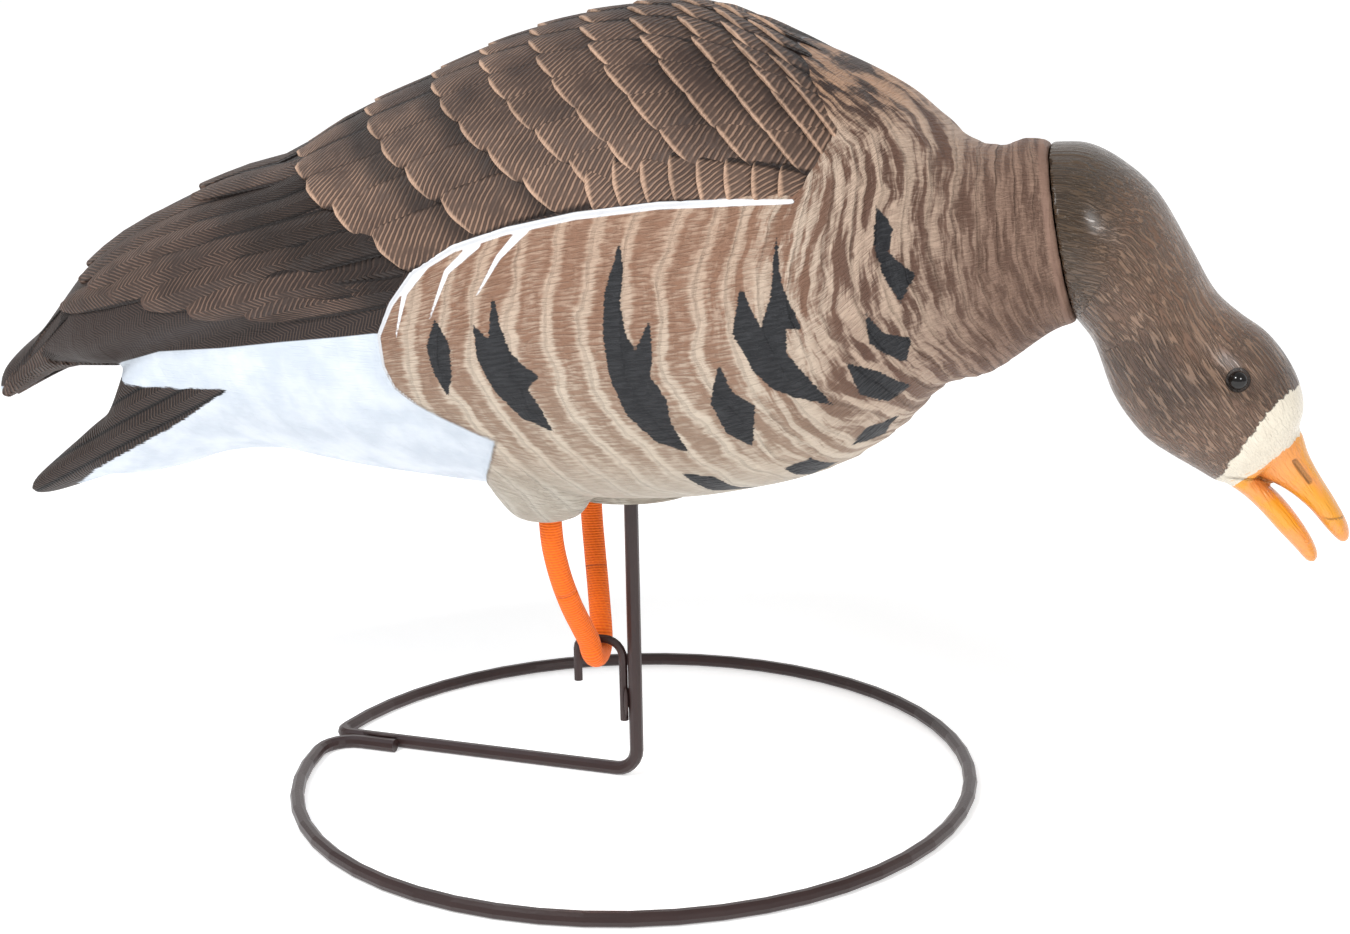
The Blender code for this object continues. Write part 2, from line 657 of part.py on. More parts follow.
def make_hook():
    """The wire hook beside the post that holds the leg cord down."""
    leg_x = HOOK_LEG_X
    free_x = leg_x - HOOK_WIDTH
    bar = HOOK_BAR_HEIGHT
    points = [Vector((free_x, 0, HOOK_FREE_END))]
    points += arc((free_x + HOOK_BEND, 0, bar - HOOK_BEND), (-HOOK_BEND, 0, 0), ("Y", math.pi / 2), 4)
    shoulder = (leg_x - HOOK_SHOULDER, 0, bar - HOOK_SHOULDER)
    points += arc(shoulder, (0, 0, HOOK_SHOULDER), ("Y", math.pi / 2), 6)
    points += [Vector((leg_x, 0, HOOK_WELDED_END))]
    finish = material("hook_coat", (0.06, 0.038, 0.035), 0.35, 0.2)
    return wire("leg_hook", points, HOOK_RADIUS, PARTS, finish, 2)


def make_welds():
    """Weld beads: one along the two rods of the base, and one each side of the hook's welded leg."""
    finish = material("weld_coat", (0.055, 0.035, 0.032), 0.4, 0.2)
    reach = ROD_RADIUS + GAP + WELD_RADIUS
    valley = (ROD_DIAMETER + GAP) / 2
    lift = math.sqrt(reach**2 - valley**2)
    back = RING_RADIUS + RING_BACK - RING_LAP + RING_WELD_LENGTH * 0.4
    half_sizes = (RING_WELD_LENGTH / 2, WELD_RADIUS, WELD_RADIUS)
    bead = oval("ring_weld", (-back, -valley, ROD_REST + lift), half_sizes, 8)
    bead.transform(Matrix.Translation((POST_X, 0, 0)) @ Matrix.Rotation(SPOKE_YAW, 4, "Z"))
    made = [add_object("ring_weld", bead, PARTS, finish)]

    spacing = POST_X - HOOK_LEG_X
    hook_reach = HOOK_RADIUS + GAP + WELD_RADIUS
    back = (reach**2 - hook_reach**2 + spacing**2) / (2 * spacing)
    side = math.sqrt(reach**2 - back**2)
    height = HOOK_WELDED_END + HOOK_WELD_LENGTH * 0.75
    for y, name in ((side, "left"), (-side, "right")):
        bead = oval(
            f"hook_weld_{name}",
            (POST_X - back, y, height),
            (WELD_RADIUS, WELD_RADIUS, HOOK_WELD_LENGTH / 2),
            8,
            10,
        )
        made.append(add_object(f"hook_weld_{name}", bead, PARTS, finish))
    return made


def make_cord():
    """The elastic leg cord, with a washer and a knotted end above each thigh."""
    half = [Vector((CORD_X + x, y, z)) for x, y, z in CORD_ROUTE]
    other = [Vector((point.x, -point.y, point.z)) for point in half]
    route = [Vector(row) for row in smooth_rows([tuple(p) for p in half + other[-2::-1]], 2)]
    orange = material("cord_orange", (0.85, 0.20, 0.02), 0.75)
    made = [wire("leg_cord", route, CORD_RADIUS, PARTS, orange, 2)]
    nylon = material("washer_nylon", (0.65, 0.65, 0.6), 0.45)
    washer_low = THIGH_PAD_TOP + GAP
    knot_low = washer_low + WASHER_THICKNESS + GAP
    for side, name in ((1, "left"), (-1, "right")):
        x, y = CORD_X, side * CORD_SPREAD
        ring = [
            (WASHER_RADIUS, WASHER_THICKNESS),
            (WASHER_RADIUS, 0),
            (CORD_HOLE_RADIUS, 0),
            (CORD_HOLE_RADIUS, WASHER_THICKNESS),
        ]
        made.append(turned(f"cord_washer_{name}", ring, (x, y, washer_low), nylon, 20, closed=True))
        lump = [
            (0, KNOT_HEIGHT),
            (KNOT_RADIUS * 0.6, KNOT_HEIGHT * 0.93),
            (KNOT_RADIUS * 0.95, KNOT_HEIGHT * 0.66),
            (KNOT_RADIUS, KNOT_HEIGHT * 0.42),
            (KNOT_RADIUS * 0.8, KNOT_HEIGHT * 0.1),
            (KNOT_RADIUS * 0.6, 0),
            (0, 0),
        ]
        made.append(turned(f"cord_knot_{name}", lump, (x, y, knot_low), orange, 14))
    return made


def add_pivot(name, place, parent=None, axis=Vector((0, 0, 1))):
    """An empty on a joint's axis."""
    pivot = bpy.data.objects.new(name, None)
    PARTS.objects.link(pivot)
    turn = axis.to_track_quat("Z", "Y").to_matrix().to_4x4()
    world = Matrix.Translation(place) @ turn
    pivot.parent = parent
    pivot.matrix_basis = (parent.matrix_world.inverted() if parent else Matrix()) @ world
    bpy.context.view_layer.update()
    return pivot


def hang(obj, pivot):
    """Parent a piece to its joint's empty, where it stands."""
    world = Matrix.Translation(obj.location)
    obj.parent = pivot
    obj.matrix_basis = pivot.matrix_world.inverted() @ world


clear_scene()
PARTS = fresh_collection("goose_feeder_decoy")
CUTTERS = fresh_collection("cutters")

body_shell = make_body()
head_shell = make_head()
head_pieces = [head_shell] + make_eyes(head_shell)
decoy_pieces = [body_shell, make_cone()] + make_screws() + make_cord()
tip_cap = make_tip_cap()
base_pieces = [make_base_rod(), make_hook()] + make_welds()

post_top = Vector((POST_X, 0, PIVOT_Z))
swivel_pivot = add_pivot("swivel_pivot", post_top)
rock_pivot = add_pivot("rock_pivot", post_top, swivel_pivot, Vector((0, 1, 0)))
head_pivot = add_pivot("head_pivot", COLLAR_CENTRE, rock_pivot, COLLAR_AXIS)
hang(tip_cap, swivel_pivot)
for piece in decoy_pieces:
    hang(piece, rock_pivot)
for piece in head_pieces:
    hang(piece, head_pivot)
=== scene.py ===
# %% [markdown]
# # A goose feeder decoy, finished
# The frame holds a plain, working decoy: shell, head, stand, cord and pivot. This lesson gives it feathers,
# paint and a studio. Everything stays in metres, in the frame's own places.

import json
import math

import bmesh
import bpy
import numpy as np
from mathutils import Matrix, Vector, noise
from mathutils.bvhtree import BVHTree


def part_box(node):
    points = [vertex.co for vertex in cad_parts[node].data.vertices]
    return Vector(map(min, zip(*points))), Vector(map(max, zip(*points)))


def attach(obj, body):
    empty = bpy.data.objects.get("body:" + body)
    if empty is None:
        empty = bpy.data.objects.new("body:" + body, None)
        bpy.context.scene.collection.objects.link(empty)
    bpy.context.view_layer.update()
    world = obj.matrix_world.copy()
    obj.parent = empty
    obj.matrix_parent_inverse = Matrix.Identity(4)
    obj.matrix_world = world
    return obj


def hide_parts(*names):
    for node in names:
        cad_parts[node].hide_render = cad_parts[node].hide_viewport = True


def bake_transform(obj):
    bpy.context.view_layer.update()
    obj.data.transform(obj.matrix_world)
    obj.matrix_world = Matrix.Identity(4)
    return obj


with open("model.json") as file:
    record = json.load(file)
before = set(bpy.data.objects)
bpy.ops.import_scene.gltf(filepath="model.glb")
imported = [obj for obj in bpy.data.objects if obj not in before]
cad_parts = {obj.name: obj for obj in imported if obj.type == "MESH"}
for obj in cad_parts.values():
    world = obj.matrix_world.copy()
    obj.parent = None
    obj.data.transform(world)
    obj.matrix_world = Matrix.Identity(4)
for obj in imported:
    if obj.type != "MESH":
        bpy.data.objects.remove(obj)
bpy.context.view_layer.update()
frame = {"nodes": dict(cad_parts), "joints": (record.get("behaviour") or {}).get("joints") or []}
JOINTS = {joint["name"]: joint for joint in frame["joints"]}

# %% [markdown]
# ## Camera
# The decoy is seen from its right side, a little from the front and from about the height of its back, with
# a long lens. The camera looks along one direction, made a unit vector here, and leans by one degree.

# %% Camera
CAMERA_PLACE = Vector((0.2501, -0.7746, 0.334))
CAMERA_AIM = Vector((-0.2684, 0.9362, -0.2268)).normalized()
CAMERA_LEAN = math.radians(1.0)
LENS_MM = 50.45


def add_camera():
    data = bpy.data.cameras.new("camera")
    data.lens = LENS_MM
    data.sensor_width = 36
    data.clip_start = 0.01
    camera = bpy.data.objects.new("camera", data)
    bpy.context.scene.collection.objects.link(camera)
    right = CAMERA_AIM.cross(Vector((0, 0, 1))).normalized()
    up = right.cross(CAMERA_AIM)
    turn = Matrix((right, up, -CAMERA_AIM)).transposed()
    lean = Matrix.Rotation(CAMERA_LEAN, 3, CAMERA_AIM)
    camera.matrix_world = Matrix.Translation(CAMERA_PLACE) @ (lean @ turn).to_4x4()
    bpy.context.scene.camera = camera


add_camera()

# %% [markdown]
# ## Small helpers
# A node tree is easier to read when each node is one short call, so `Graph` wraps the few that repeat.
# `paint` turns a colour as a paint shop names it (0 to 255) into the linear values that shaders use.


# %% Node trees in short calls
class Graph:
    """Short calls for one node tree: put() adds a node, sets it, and joins what is given to its inputs."""

    def __init__(self, tree):
        self.tree = tree

    def put(self, kind, inputs=(), **settings):
        node = self.tree.nodes.new(kind)
        for name, value in settings.items():
            setattr(node, name, value)
        for key, value in dict(inputs).items():
            if isinstance(value, bpy.types.NodeSocket):
                self.tree.links.new(value, node.inputs[key])
            else:
                node.inputs[key].default_value = value
        return node

    def math(self, operation, a, b=0.0, c=0.0):
        return self.put("ShaderNodeMath", {0: a, 1: b, 2: c}, operation=operation).outputs[0]

    def times(self, a, b):
        return self.math("MULTIPLY", a, b)

    def line(self, value, slope, start):
        """value x slope + start"""
        return self.math("MULTIPLY_ADD", value, slope, start)

    def smooth(self, value, low, high, to_low=0.0, to_high=1.0):
        keys = {0: value, 1: low, 2: high, 3: to_low, 4: to_high}
        return self.put("ShaderNodeMapRange", keys, interpolation_type="SMOOTHSTEP").outputs[0]

    def mix(self, share, a, b, blend="MIX"):
        keys = {0: share, 6: a, 7: b}
        return self.put("ShaderNodeMix", keys, data_type="RGBA", blend_type=blend).outputs[2]

    def noise(self, where, scale, detail=3.0, rough=0.5):
        keys = {"Vector": where, "Scale": scale, "Detail": detail, "Roughness": rough}
        return self.put("ShaderNodeTexNoise", keys).outputs[0]

    def attribute(self, name):
        return self.put("ShaderNodeAttribute", attribute_name=name).outputs

    def parts(self, vector):
        return self.put("ShaderNodeSeparateXYZ", {0: vector}).outputs

    def vector(self, x, y, z=0.0):
        return self.put("ShaderNodeCombineXYZ", {0: x, 1: y, 2: z}).outputs[0]

    def place(self):
        return self.put("ShaderNodeTexCoord").outputs["Object"]

    def bump(self, height, distance, strength=1.0):
        keys = {"Height": height, "Distance": distance, "Strength": strength}
        return self.put("ShaderNodeBump", keys).outputs[0]


def paint(red, green, blue):
    """A linear colour from a paint chip's 0 to 255 values."""
    share = np.array([red, green, blue]) / 255
    linear = np.where(share <= 0.04045, share / 12.92, ((share + 0.055) / 1.055) ** 2.4)
    return (*(float(v) for v in linear), 1.0)


def new_material(name):
    """A material with its graph and its Principled shader."""
    material = bpy.data.materials.new(name)
    material.use_nodes = True
    return material, Graph(material.node_tree), material.node_tree.nodes["Principled BSDF"]


def wire_up(graph, shader, **sockets):
    """Join sockets, or set plain numbers, by shader input names with spaces as underscores."""
    for name, value in sockets.items():
        target = shader.inputs[name.replace("_", " ")]
        if isinstance(value, bpy.types.NodeSocket):
            graph.tree.links.new(value, target)
        else:
            target.default_value = value


# %% Meshes in short calls
def add_mesh(name, points, faces):
    mesh = bpy.data.meshes.new(name)
    mesh.from_pydata([tuple(p) for p in points], [], [tuple(f) for f in faces])
    obj = bpy.data.objects.new(name, mesh)
    bpy.context.scene.collection.objects.link(obj)
    return obj


def settle(obj):
    """Turn the object's modifiers into its plain mesh."""
    graph = bpy.context.evaluated_depsgraph_get()
    mesh = bpy.data.meshes.new_from_object(obj.evaluated_get(graph))
    obj.modifiers.clear()
    obj.data = mesh
    mesh.name = obj.name
    return obj


def places(obj):
    values = np.empty(len(obj.data.vertices) * 3)
    obj.data.vertices.foreach_get("co", values)
    return values.reshape(-1, 3)


def normals(obj):
    values = np.empty(len(obj.data.vertices) * 3)
    obj.data.vertex_normals.foreach_get("vector", values)
    return values.reshape(-1, 3)


def move_to(obj, points):
    obj.data.vertices.foreach_set("co", np.asarray(points, float).ravel())
    obj.data.update()


def store(obj, name, values):
    """Keep a number or a vector for each vertex, for the paint to read."""
    values = np.asarray(values, np.float32)
    kind, field = ("FLOAT", "value") if values.ndim == 1 else ("FLOAT_VECTOR", "vector")
    layer = obj.data.attributes.new(name, kind, "POINT")
    layer.data.foreach_set(field, values.ravel())


def ease(value, low, high):
    """0 below low, 1 above high, smooth between."""
    t = np.clip((np.asarray(value, float) - low) / (high - low), 0, 1)
    return t * t * (3 - 2 * t)


def blend_rows(a, b, share):
    """Row by row mix of two colour arrays."""
    return a + (b - a) * np.asarray(share)[:, None]


# %% [markdown]
# ## Studio
# A pale sweep and big soft lamps, as for a catalogue. The floor is not part of the object.

# %% Floor and light
def add_floor():
    """A sweep: level under the object, then curving up behind it."""
    profile = [(-6, 0), (2.2, 0)]
    profile += [(2.2 + 0.9 * math.sin(a), 0.9 - 0.9 * math.cos(a)) for a in np.radians(range(10, 91, 10))]
    profile.append((3.1, 4.0))
    points = [(x, y, z) for y, z in profile for x in (-7, 7)]
    faces = [(2 * i, 2 * i + 1, 2 * i + 3, 2 * i + 2) for i in range(len(profile) - 1)]
    floor = add_mesh("floor", points, faces)
    material, graph, shader = new_material("floor_paint")
    glow = {"Base_Color": (0.9, 0.9, 0.9, 1), "Roughness": 0.9, "Emission_Color": (1, 1, 1, 1)}
    wire_up(graph, shader, Emission_Strength=0.42, **glow)
    floor.data.materials.append(material)


def add_lamp(name, place, target, width, watts):
    data = bpy.data.lights.new(name, "AREA")
    data.shape = "DISK"
    data.size = width
    data.energy = watts
    lamp = bpy.data.objects.new(name, data)
    bpy.context.scene.collection.objects.link(lamp)
    lamp.location = place
    lamp.rotation_euler = (Vector(target) - Vector(place)).to_track_quat("-Z", "Y").to_euler()


def add_studio():
    add_floor()
    world = bpy.data.worlds.new("studio")
    bpy.context.scene.world = world
    world.use_nodes = True
    world.node_tree.nodes["Background"].inputs[0].default_value = (1, 1, 1, 1)
    world.node_tree.nodes["Background"].inputs[1].default_value = 0.5
    add_lamp("key", (-0.5, -0.9, 1.2), (0, 0, 0.2), 0.4, 13)
    add_lamp("front", (0.9, -1.0, 0.9), (0.1, 0, 0.2), 0.4, 6)
    bpy.context.scene.view_settings.view_transform = "Standard"


add_studio()

# %% [markdown]
# ## The body's skin
# The real shell is blown in one mould. Its form is a row of upright ovals from tail to collar, with the
# folded wings and the thighs grown into it. Fine lofts of these are joined by a voxel remesh, which welds
# them into one even skin, as the mould does, and a light smoothing rounds the places where they meet.

# %% Outlines of the mould
PIVOT = Vector(JOINTS["body_swivel"]["pos_m"])
COLLAR_CENTRE = Vector(JOINTS["head_turn"]["pos_m"])
COLLAR_AXIS = Vector(JOINTS["head_turn"]["axis"]).normalized()
COLLAR_UP = Vector((-COLLAR_AXIS.z, 0, COLLAR_AXIS.x))
COLLAR_RADIUS = 0.0371
BELLY_Z = PIVOT.z - 0.148
BODY_LENGTH = 0.480
BODY_HEIGHT = 0.2085
BODY_HALF_WIDTH = 0.095
WALL = 0.003
SKIN_STEP = 0.0022

# Back line x, z, belly line x, z, half width, all in per cent, and the widest level's share of the height.
BODY_ROWS = [
    (-61.9, -4.3, -61.4, -6.2, 12.5, 0.50),
    (-60.7, -0.7, -59.9, -5.8, 23.0, 0.50),
    (-57.7, 4.8, -56.5, -3.4, 30.0, 0.50),
    (-53.9, 11.5, -52.7, -0.7, 36.5, 0.50),
    (-49.8, 19.9, -48.8, 0.2, 44.0, 0.48),
    (-45.8, 39.6, -45.0, 2.2, 52.6, 0.45),
    (-41.6, 60.0, -40.0, 5.8, 61.1, 0.46),
    (-34.8, 68.6, -33.7, 7.4, 70.5, 0.48),
    (-29.4, 72.5, -28.9, 6.0, 77.9, 0.50),
    (-23.9, 80.1, -23.7, 4.3, 85.3, 0.52),
    (-17.5, 86.6, -17.1, 3.0, 92.6, 0.54),
    (-8.7, 94.8, -9.2, 1.5, 97.9, 0.56),
    (-0.4, 99.5, -0.4, 0.0, 100.0, 0.57),
    (7.3, 100.5, 6.7, 1.1, 98.9, 0.57),
    (14.2, 95.5, 12.1, 3.5, 95.8, 0.57),
    (20.2, 90.2, 16.7, 6.3, 90.5, 0.56),
    (25.0, 84.4, 21.3, 10.9, 82.1, 0.55),
    (28.3, 78.4, 25.4, 17.8, 70.5, 0.53),
    (30.8, 73.9, 29.0, 26.3, 58.9, 0.52),
    (33.6, 72.9, 32.9, 29.0, 48.9, 0.50),
]
WING_ROWS = [
    (-65.8, 17.7, -65.3, 15.6, 5.3, 0.40),
    (-64.6, 23.0, -63.1, 18.2, 11.6, 0.40),
    (-62.1, 28.0, -60.0, 21.6, 18.9, 0.38),
    (-58.3, 34.1, -56.6, 24.7, 30.5, 0.35),
    (-55.0, 41.8, -52.5, 25.2, 43.2, 0.32),
    (-51.6, 49.7, -47.9, 25.7, 55.8, 0.30),
    (-47.3, 56.8, -43.1, 27.6, 66.3, 0.30),
    (-42.1, 62.6, -38.3, 29.9, 75.8, 0.30),
    (-34.8, 69.1, -32.7, 32.4, 84.2, 0.30),
    (-27.5, 73.6, -25.8, 34.8, 90.5, 0.32),
    (-20.2, 79.8, -18.7, 36.7, 92.6, 0.35),
    (-12.9, 79.8, -11.9, 41.4, 84.2, 0.40),
]


def body_rows(rows):
    """Outline rows in metres."""
    percent = np.array(rows) / 100
    length = PIVOT.x + BODY_LENGTH * percent[:, [0, 2]]
    height = BELLY_Z + BODY_HEIGHT * percent[:, [1, 3]]
    half_width = BODY_HALF_WIDTH * percent[:, 4]
    ends = [length[:, 0], height[:, 0], length[:, 1], height[:, 1]]
    return np.column_stack([*ends, half_width, percent[:, 5] * 100])


def collar_row(radius, offset):
    centre = COLLAR_CENTRE + COLLAR_AXIS * offset
    top, low = centre + COLLAR_UP * radius, centre - COLLAR_UP * radius
    return (top.x, top.z, low.x, low.z, radius, 0.5)


# %% Lofts through the outlines
def smooth_rows(rows, steps):
    """Catmull-Rom rows between the given ones."""
    rows = np.asarray(rows, float)
    ends = np.vstack([2 * rows[0] - rows[1], rows, 2 * rows[-1] - rows[-2]])
    made = []
    for a, b, c, d in zip(ends, ends[1:], ends[2:], ends[3:]):
        for t in np.arange(steps) / steps:
            bend = (2 * a - 5 * b + 4 * c - d) * t**2 + (3 * b - a - 3 * c + d) * t**3
            made.append(0.5 * (2 * b + (c - a) * t + bend))
    return np.array(made + [rows[-1]])


def ovals(rows, around, inset=0.0):
    """Rings of points round upright ovals: (top x, z, bottom x, z, half width, widest level)."""
    rows = np.asarray(rows, float)
    top = np.column_stack([rows[:, 0], np.zeros(len(rows)), rows[:, 1]])
    low = np.column_stack([rows[:, 2], np.zeros(len(rows)), rows[:, 3]])
    upward = (top - low) / np.linalg.norm(top - low, axis=1)[:, None]
    top, low = top - upward * inset, low + upward * inset
    middle = low + (top - low) * rows[:, 5:6]
    angle = math.tau * np.arange(around) / around
    above, below = np.linalg.norm(top - middle, axis=1), np.linalg.norm(middle - low, axis=1)
    reach = np.where(np.sin(angle)[None, :] > 0, above[:, None], below[:, None]) * np.sin(angle)[None, :]
    rings = middle[:, None, :] + upward[:, None, :] * reach[:, :, None]
    rings[:, :, 1] += (rows[:, 4] - inset)[:, None] * np.cos(angle)[None, :]
    return rings


def skin_over(rings):
    """Points and faces of a closed skin over rings of points."""
    count, around = rings.shape[:2]
    faces = []
    for r in range(count - 1):
        for i in range(around):
            j = (i + 1) % around
            faces.append((r * around + i, r * around + j, (r + 1) * around + j, (r + 1) * around + i))
    faces.append(tuple(range(around))[::-1])
    faces.append(tuple((count - 1) * around + i for i in range(around)))
    return rings.reshape(-1, 3), faces


def join_skins(name, skins):
    points, faces = [], []
    for more_points, more_faces in skins:
        faces += [tuple(i + len(points) for i in face) for face in more_faces]
        points += list(more_points)
    return add_mesh(name, points, faces)


def weld(obj, step, smoothing):
    """One even skin round overlapping solids."""
    bm = bmesh.new()
    bm.from_mesh(obj.data)
    bmesh.ops.recalc_face_normals(bm, faces=bm.faces)
    bm.to_mesh(obj.data)
    bm.free()
    remesh = obj.modifiers.new("Weld", "REMESH")
    remesh.mode = "VOXEL"
    remesh.voxel_size = step
    soften = obj.modifiers.new("Soften", "SMOOTH")
    soften.factor = 0.5
    soften.iterations = smoothing
    settle(obj)
    obj.data.shade_smooth()
    print(obj.name, len(obj.data.polygons), "faces")
    return obj


# %% Weld body, wings and thighs
THIGH_LEVELS = [(0, 0.88), (1.8, 1.12), (7, 1.36), (16, 1.66), (28, 1.84), (42, 1.60)]
THIGH_RADIUS = 0.0125
THIGH_BOTTOM = BELLY_Z - 0.0035
CORD_X = PIVOT.x - 0.028
CORD_SPREAD = 0.028


def thigh_rings(side):
    levels = smooth_rows(THIGH_LEVELS, 3)
    angle = math.tau * np.arange(40) / 40
    rings = []
    for rise, share in levels:
        lean, radius = rise * 0.00012, THIGH_RADIUS * share
        x = CORD_X - lean + 1.1 * radius * np.cos(angle)
        y = side * (CORD_SPREAD + lean) + 0.95 * radius * np.sin(angle)
        rings.append(np.column_stack([x, y, np.full(40, THIGH_BOTTOM + rise / 1000)]))
    return np.array(rings)


body_outline = np.vstack(
    [body_rows(BODY_ROWS), collar_row(COLLAR_RADIUS * 1.06, -0.011), collar_row(COLLAR_RADIUS, 0)]
)
skins = [
    skin_over(ovals(smooth_rows(body_outline, 6), 96)),
    skin_over(ovals(smooth_rows(body_rows(WING_ROWS), 6), 96)),
    skin_over(thigh_rings(1)),
    skin_over(thigh_rings(-1)),
]
core = weld(join_skins("body_core", skins), SKIN_STEP, 6)
core_tree = BVHTree.FromObject(core, bpy.context.evaluated_depsgraph_get())
core.hide_render = True


# %% [markdown]
# ## Paint marks
# Black belly bars, the white flank line and the white rump are masked on by the painter. Each outline is kept
# as a distance over the skin's side view, in metres, because a distance stays sharp between vertices,
# where a painted vertex colour would blur.

# %% Distances to outlines
def line_distance(x, z, line):
    """Distance in the side view to an open line, and the share of the way along it."""
    best, share = np.full(len(x), 9.0), np.zeros(len(x))
    line = np.asarray(line, float) / 1000
    for i, (a, b) in enumerate(zip(line, line[1:])):
        d = b - a
        t = np.clip(((x - a[0]) * d[0] + (z - a[1]) * d[1]) / (d @ d), 0, 1)
        gap = np.hypot(x - a[0] - t * d[0], z - a[1] - t * d[1])
        nearer = gap < best
        best, share = np.where(nearer, gap, best), np.where(nearer, (i + t) / (len(line) - 1), share)
    return best, share


def inside(x, z, outline):
    outline = np.asarray(outline, float) / 1000
    found = np.zeros(len(x), bool)
    for a, b in zip(outline, np.roll(outline, -1, 0)):
        crosses = (a[1] > z) != (b[1] > z)
        with np.errstate(divide="ignore", invalid="ignore"):
            found ^= crosses & (x < (b[0] - a[0]) * (z - a[1]) / (b[1] - a[1]) + a[0])
    return found


def outline_distance(x, z, outline):
    """Distance to a closed outline, negative inside it."""
    gap, _ = line_distance(x, z, list(outline) + [outline[0]])
    return np.where(inside(x, z, outline), -gap, gap)


# %% Outlines of the painter's masks, millimetres along and above the ground
BARS = [
    [(-42, 224), (-37, 214), (-38, 202), (-42, 191), (-46, 201), (-47, 213)],
    [(-16, 236), (-14, 222), (-12, 212), (-7, 206), (-1, 202), (-7, 196), (-4, 190), (0, 177),
     (-12, 183), (-21, 194), (-26, 208), (-26, 222), (-20, 217)],
    [(36, 256), (37, 244), (35, 232), (36, 221), (39, 213), (46, 226), (46, 213), (44, 203), (49, 193),
     (49, 183), (53, 169), (41, 174), (32, 186), (28, 201), (27, 218), (29, 236)],
    [(94, 258), (96, 240), (103, 222), (97, 223), (97, 213), (112, 190), (99, 194), (91, 198), (84, 205),
     (77, 221), (81, 239), (88, 223), (92, 236)],
    [(71, 209), (75, 197), (83, 191), (79, 172), (70, 178), (66, 192)],
    [(128, 268), (134, 259), (133, 250), (142, 241), (137, 230), (132, 240), (128, 252)],
    [(125, 228), (131, 219), (140, 216), (138, 206), (131, 210), (126, 216)],
    [(118, 208), (129, 203), (138, 195), (130, 189), (121, 194)],
    [(131, 180), (121, 178), (114, 169), (124, 170)],
    [(88, 160), (99, 165), (106, 158), (92, 150)],
    [(47, 158), (60, 156), (70, 143), (55, 146)],
]
WHITE_LINE = [(99, 270), (78, 270), (50, 269), (18, 265), (-10, 259), (-32, 252), (-50, 242), (-61, 229),
              (-68, 216), (-68, 203), (-65, 194), (-57, 187)]
WHITE_BRANCHES = [
    [(-44, 246), (-54, 234), (-60, 216)],
    [(-22, 254), (-35, 243), (-44, 224)],
    [(-2, 260), (-13, 249), (-23, 234)],
]
FLANK = [(70, 360), (112, 294), (103, 274), (99, 271), (50, 269), (18, 265), (-10, 259), (-32, 252),
         (-50, 242), (-61, 229), (-68, 216), (-68, 203), (-65, 194), (-57, 187), (-45, 180), (-33, 174),
         (-27, 171), (-33, 161), (-40, 151), (-46, 140), (-46, 100), (240, 100), (240, 360)]
TAIL_PETAL = [(-152, 186), (-173, 185), (-211, 184), (-262, 196), (-330, 150), (-300, 100), (-262, 128),
              (-240, 140), (-222, 149), (-204, 158), (-186, 167), (-169, 177)]
RUMP_TOP = [(-330, 168), (-250, 180), (-214, 193), (-186, 201), (-151, 205), (-118, 210), (-88, 214),
            (-60, 218)]


def bar_distance(x, z):
    return np.min([outline_distance(x, z, bar) for bar in BARS], axis=0)


def white_distance(x, z):
    """Distance to the edge of the white line and its branches, which taper to their ends."""
    gap, share = line_distance(x, z, WHITE_LINE)
    edge = gap - 0.0013 * np.interp(share, [0, 0.1, 0.5, 0.72, 1], [0.6, 1, 1.1, 0.7, 0.2])
    for branch in WHITE_BRANCHES:
        gap, share = line_distance(x, z, branch)
        edge = np.minimum(edge, gap - 0.0016 * (1.15 - share))
    return edge


# %% [markdown]
# ## Flow of the small feathers
# On flank, breast and neck the small feathers lie in long rows that bow towards the tail and lean forward at
# the belly. `flow` counts these rows along the body, so that its whole numbers are the edges between rows:
# the same count drives the relief of the mesh here and the streaks of the paint later.

# %% Row count over the skin
def flow(x, z):
    top = np.interp(x, [-0.07, 0, 0.10, 0.13, 0.20], [0.235, 0.262, 0.275, 0.300, 0.290])
    low = np.interp(x, [-0.07, 0, 0.06, 0.11, 0.14, 0.20], [0.150, 0.133, 0.138, 0.152, 0.180, 0.215])
    run = (top - z) / (top - low)
    down = np.clip(run, 0, 1.2)
    lean = np.interp(x, [-0.07, 0.05, 0.12, 0.20], [0.020, 0.033, 0.030, 0.006])
    bow = np.interp(x, [-0.07, 0.05, 0.12, 0.20], [0.016, 0.015, 0.012, 0.002])
    level = x - lean * down**2 + bow * np.sin(math.pi * np.clip(down, 0, 1))
    level = level + np.maximum(z - 0.268, 0) ** 2 / 0.055
    stations = np.linspace(-0.35, 0.25, 241)
    width = np.interp(stations, [-0.08, 0.06, 0.11, 0.19], [0.016, 0.0145, 0.010, 0.0058])
    count = np.concatenate([[0], np.cumsum(np.diff(stations) / width[1:])])
    return np.interp(level, stations, count), run


def wander(points, scale, seed):
    """Smooth noise at each point."""
    shift = Vector((seed * 7.1, seed * 3.3, seed * 5.7))
    return np.array([noise.noise(Vector(p) * scale + shift) for p in points])


# %% Relief of the skin
FLANK_RISE = 0.0030
ROW_RISE = 0.0008

skin = core.copy()
skin.data = core.data.copy()
skin.name = "body_skin"
skin.hide_render = False
bpy.context.scene.collection.objects.link(skin)


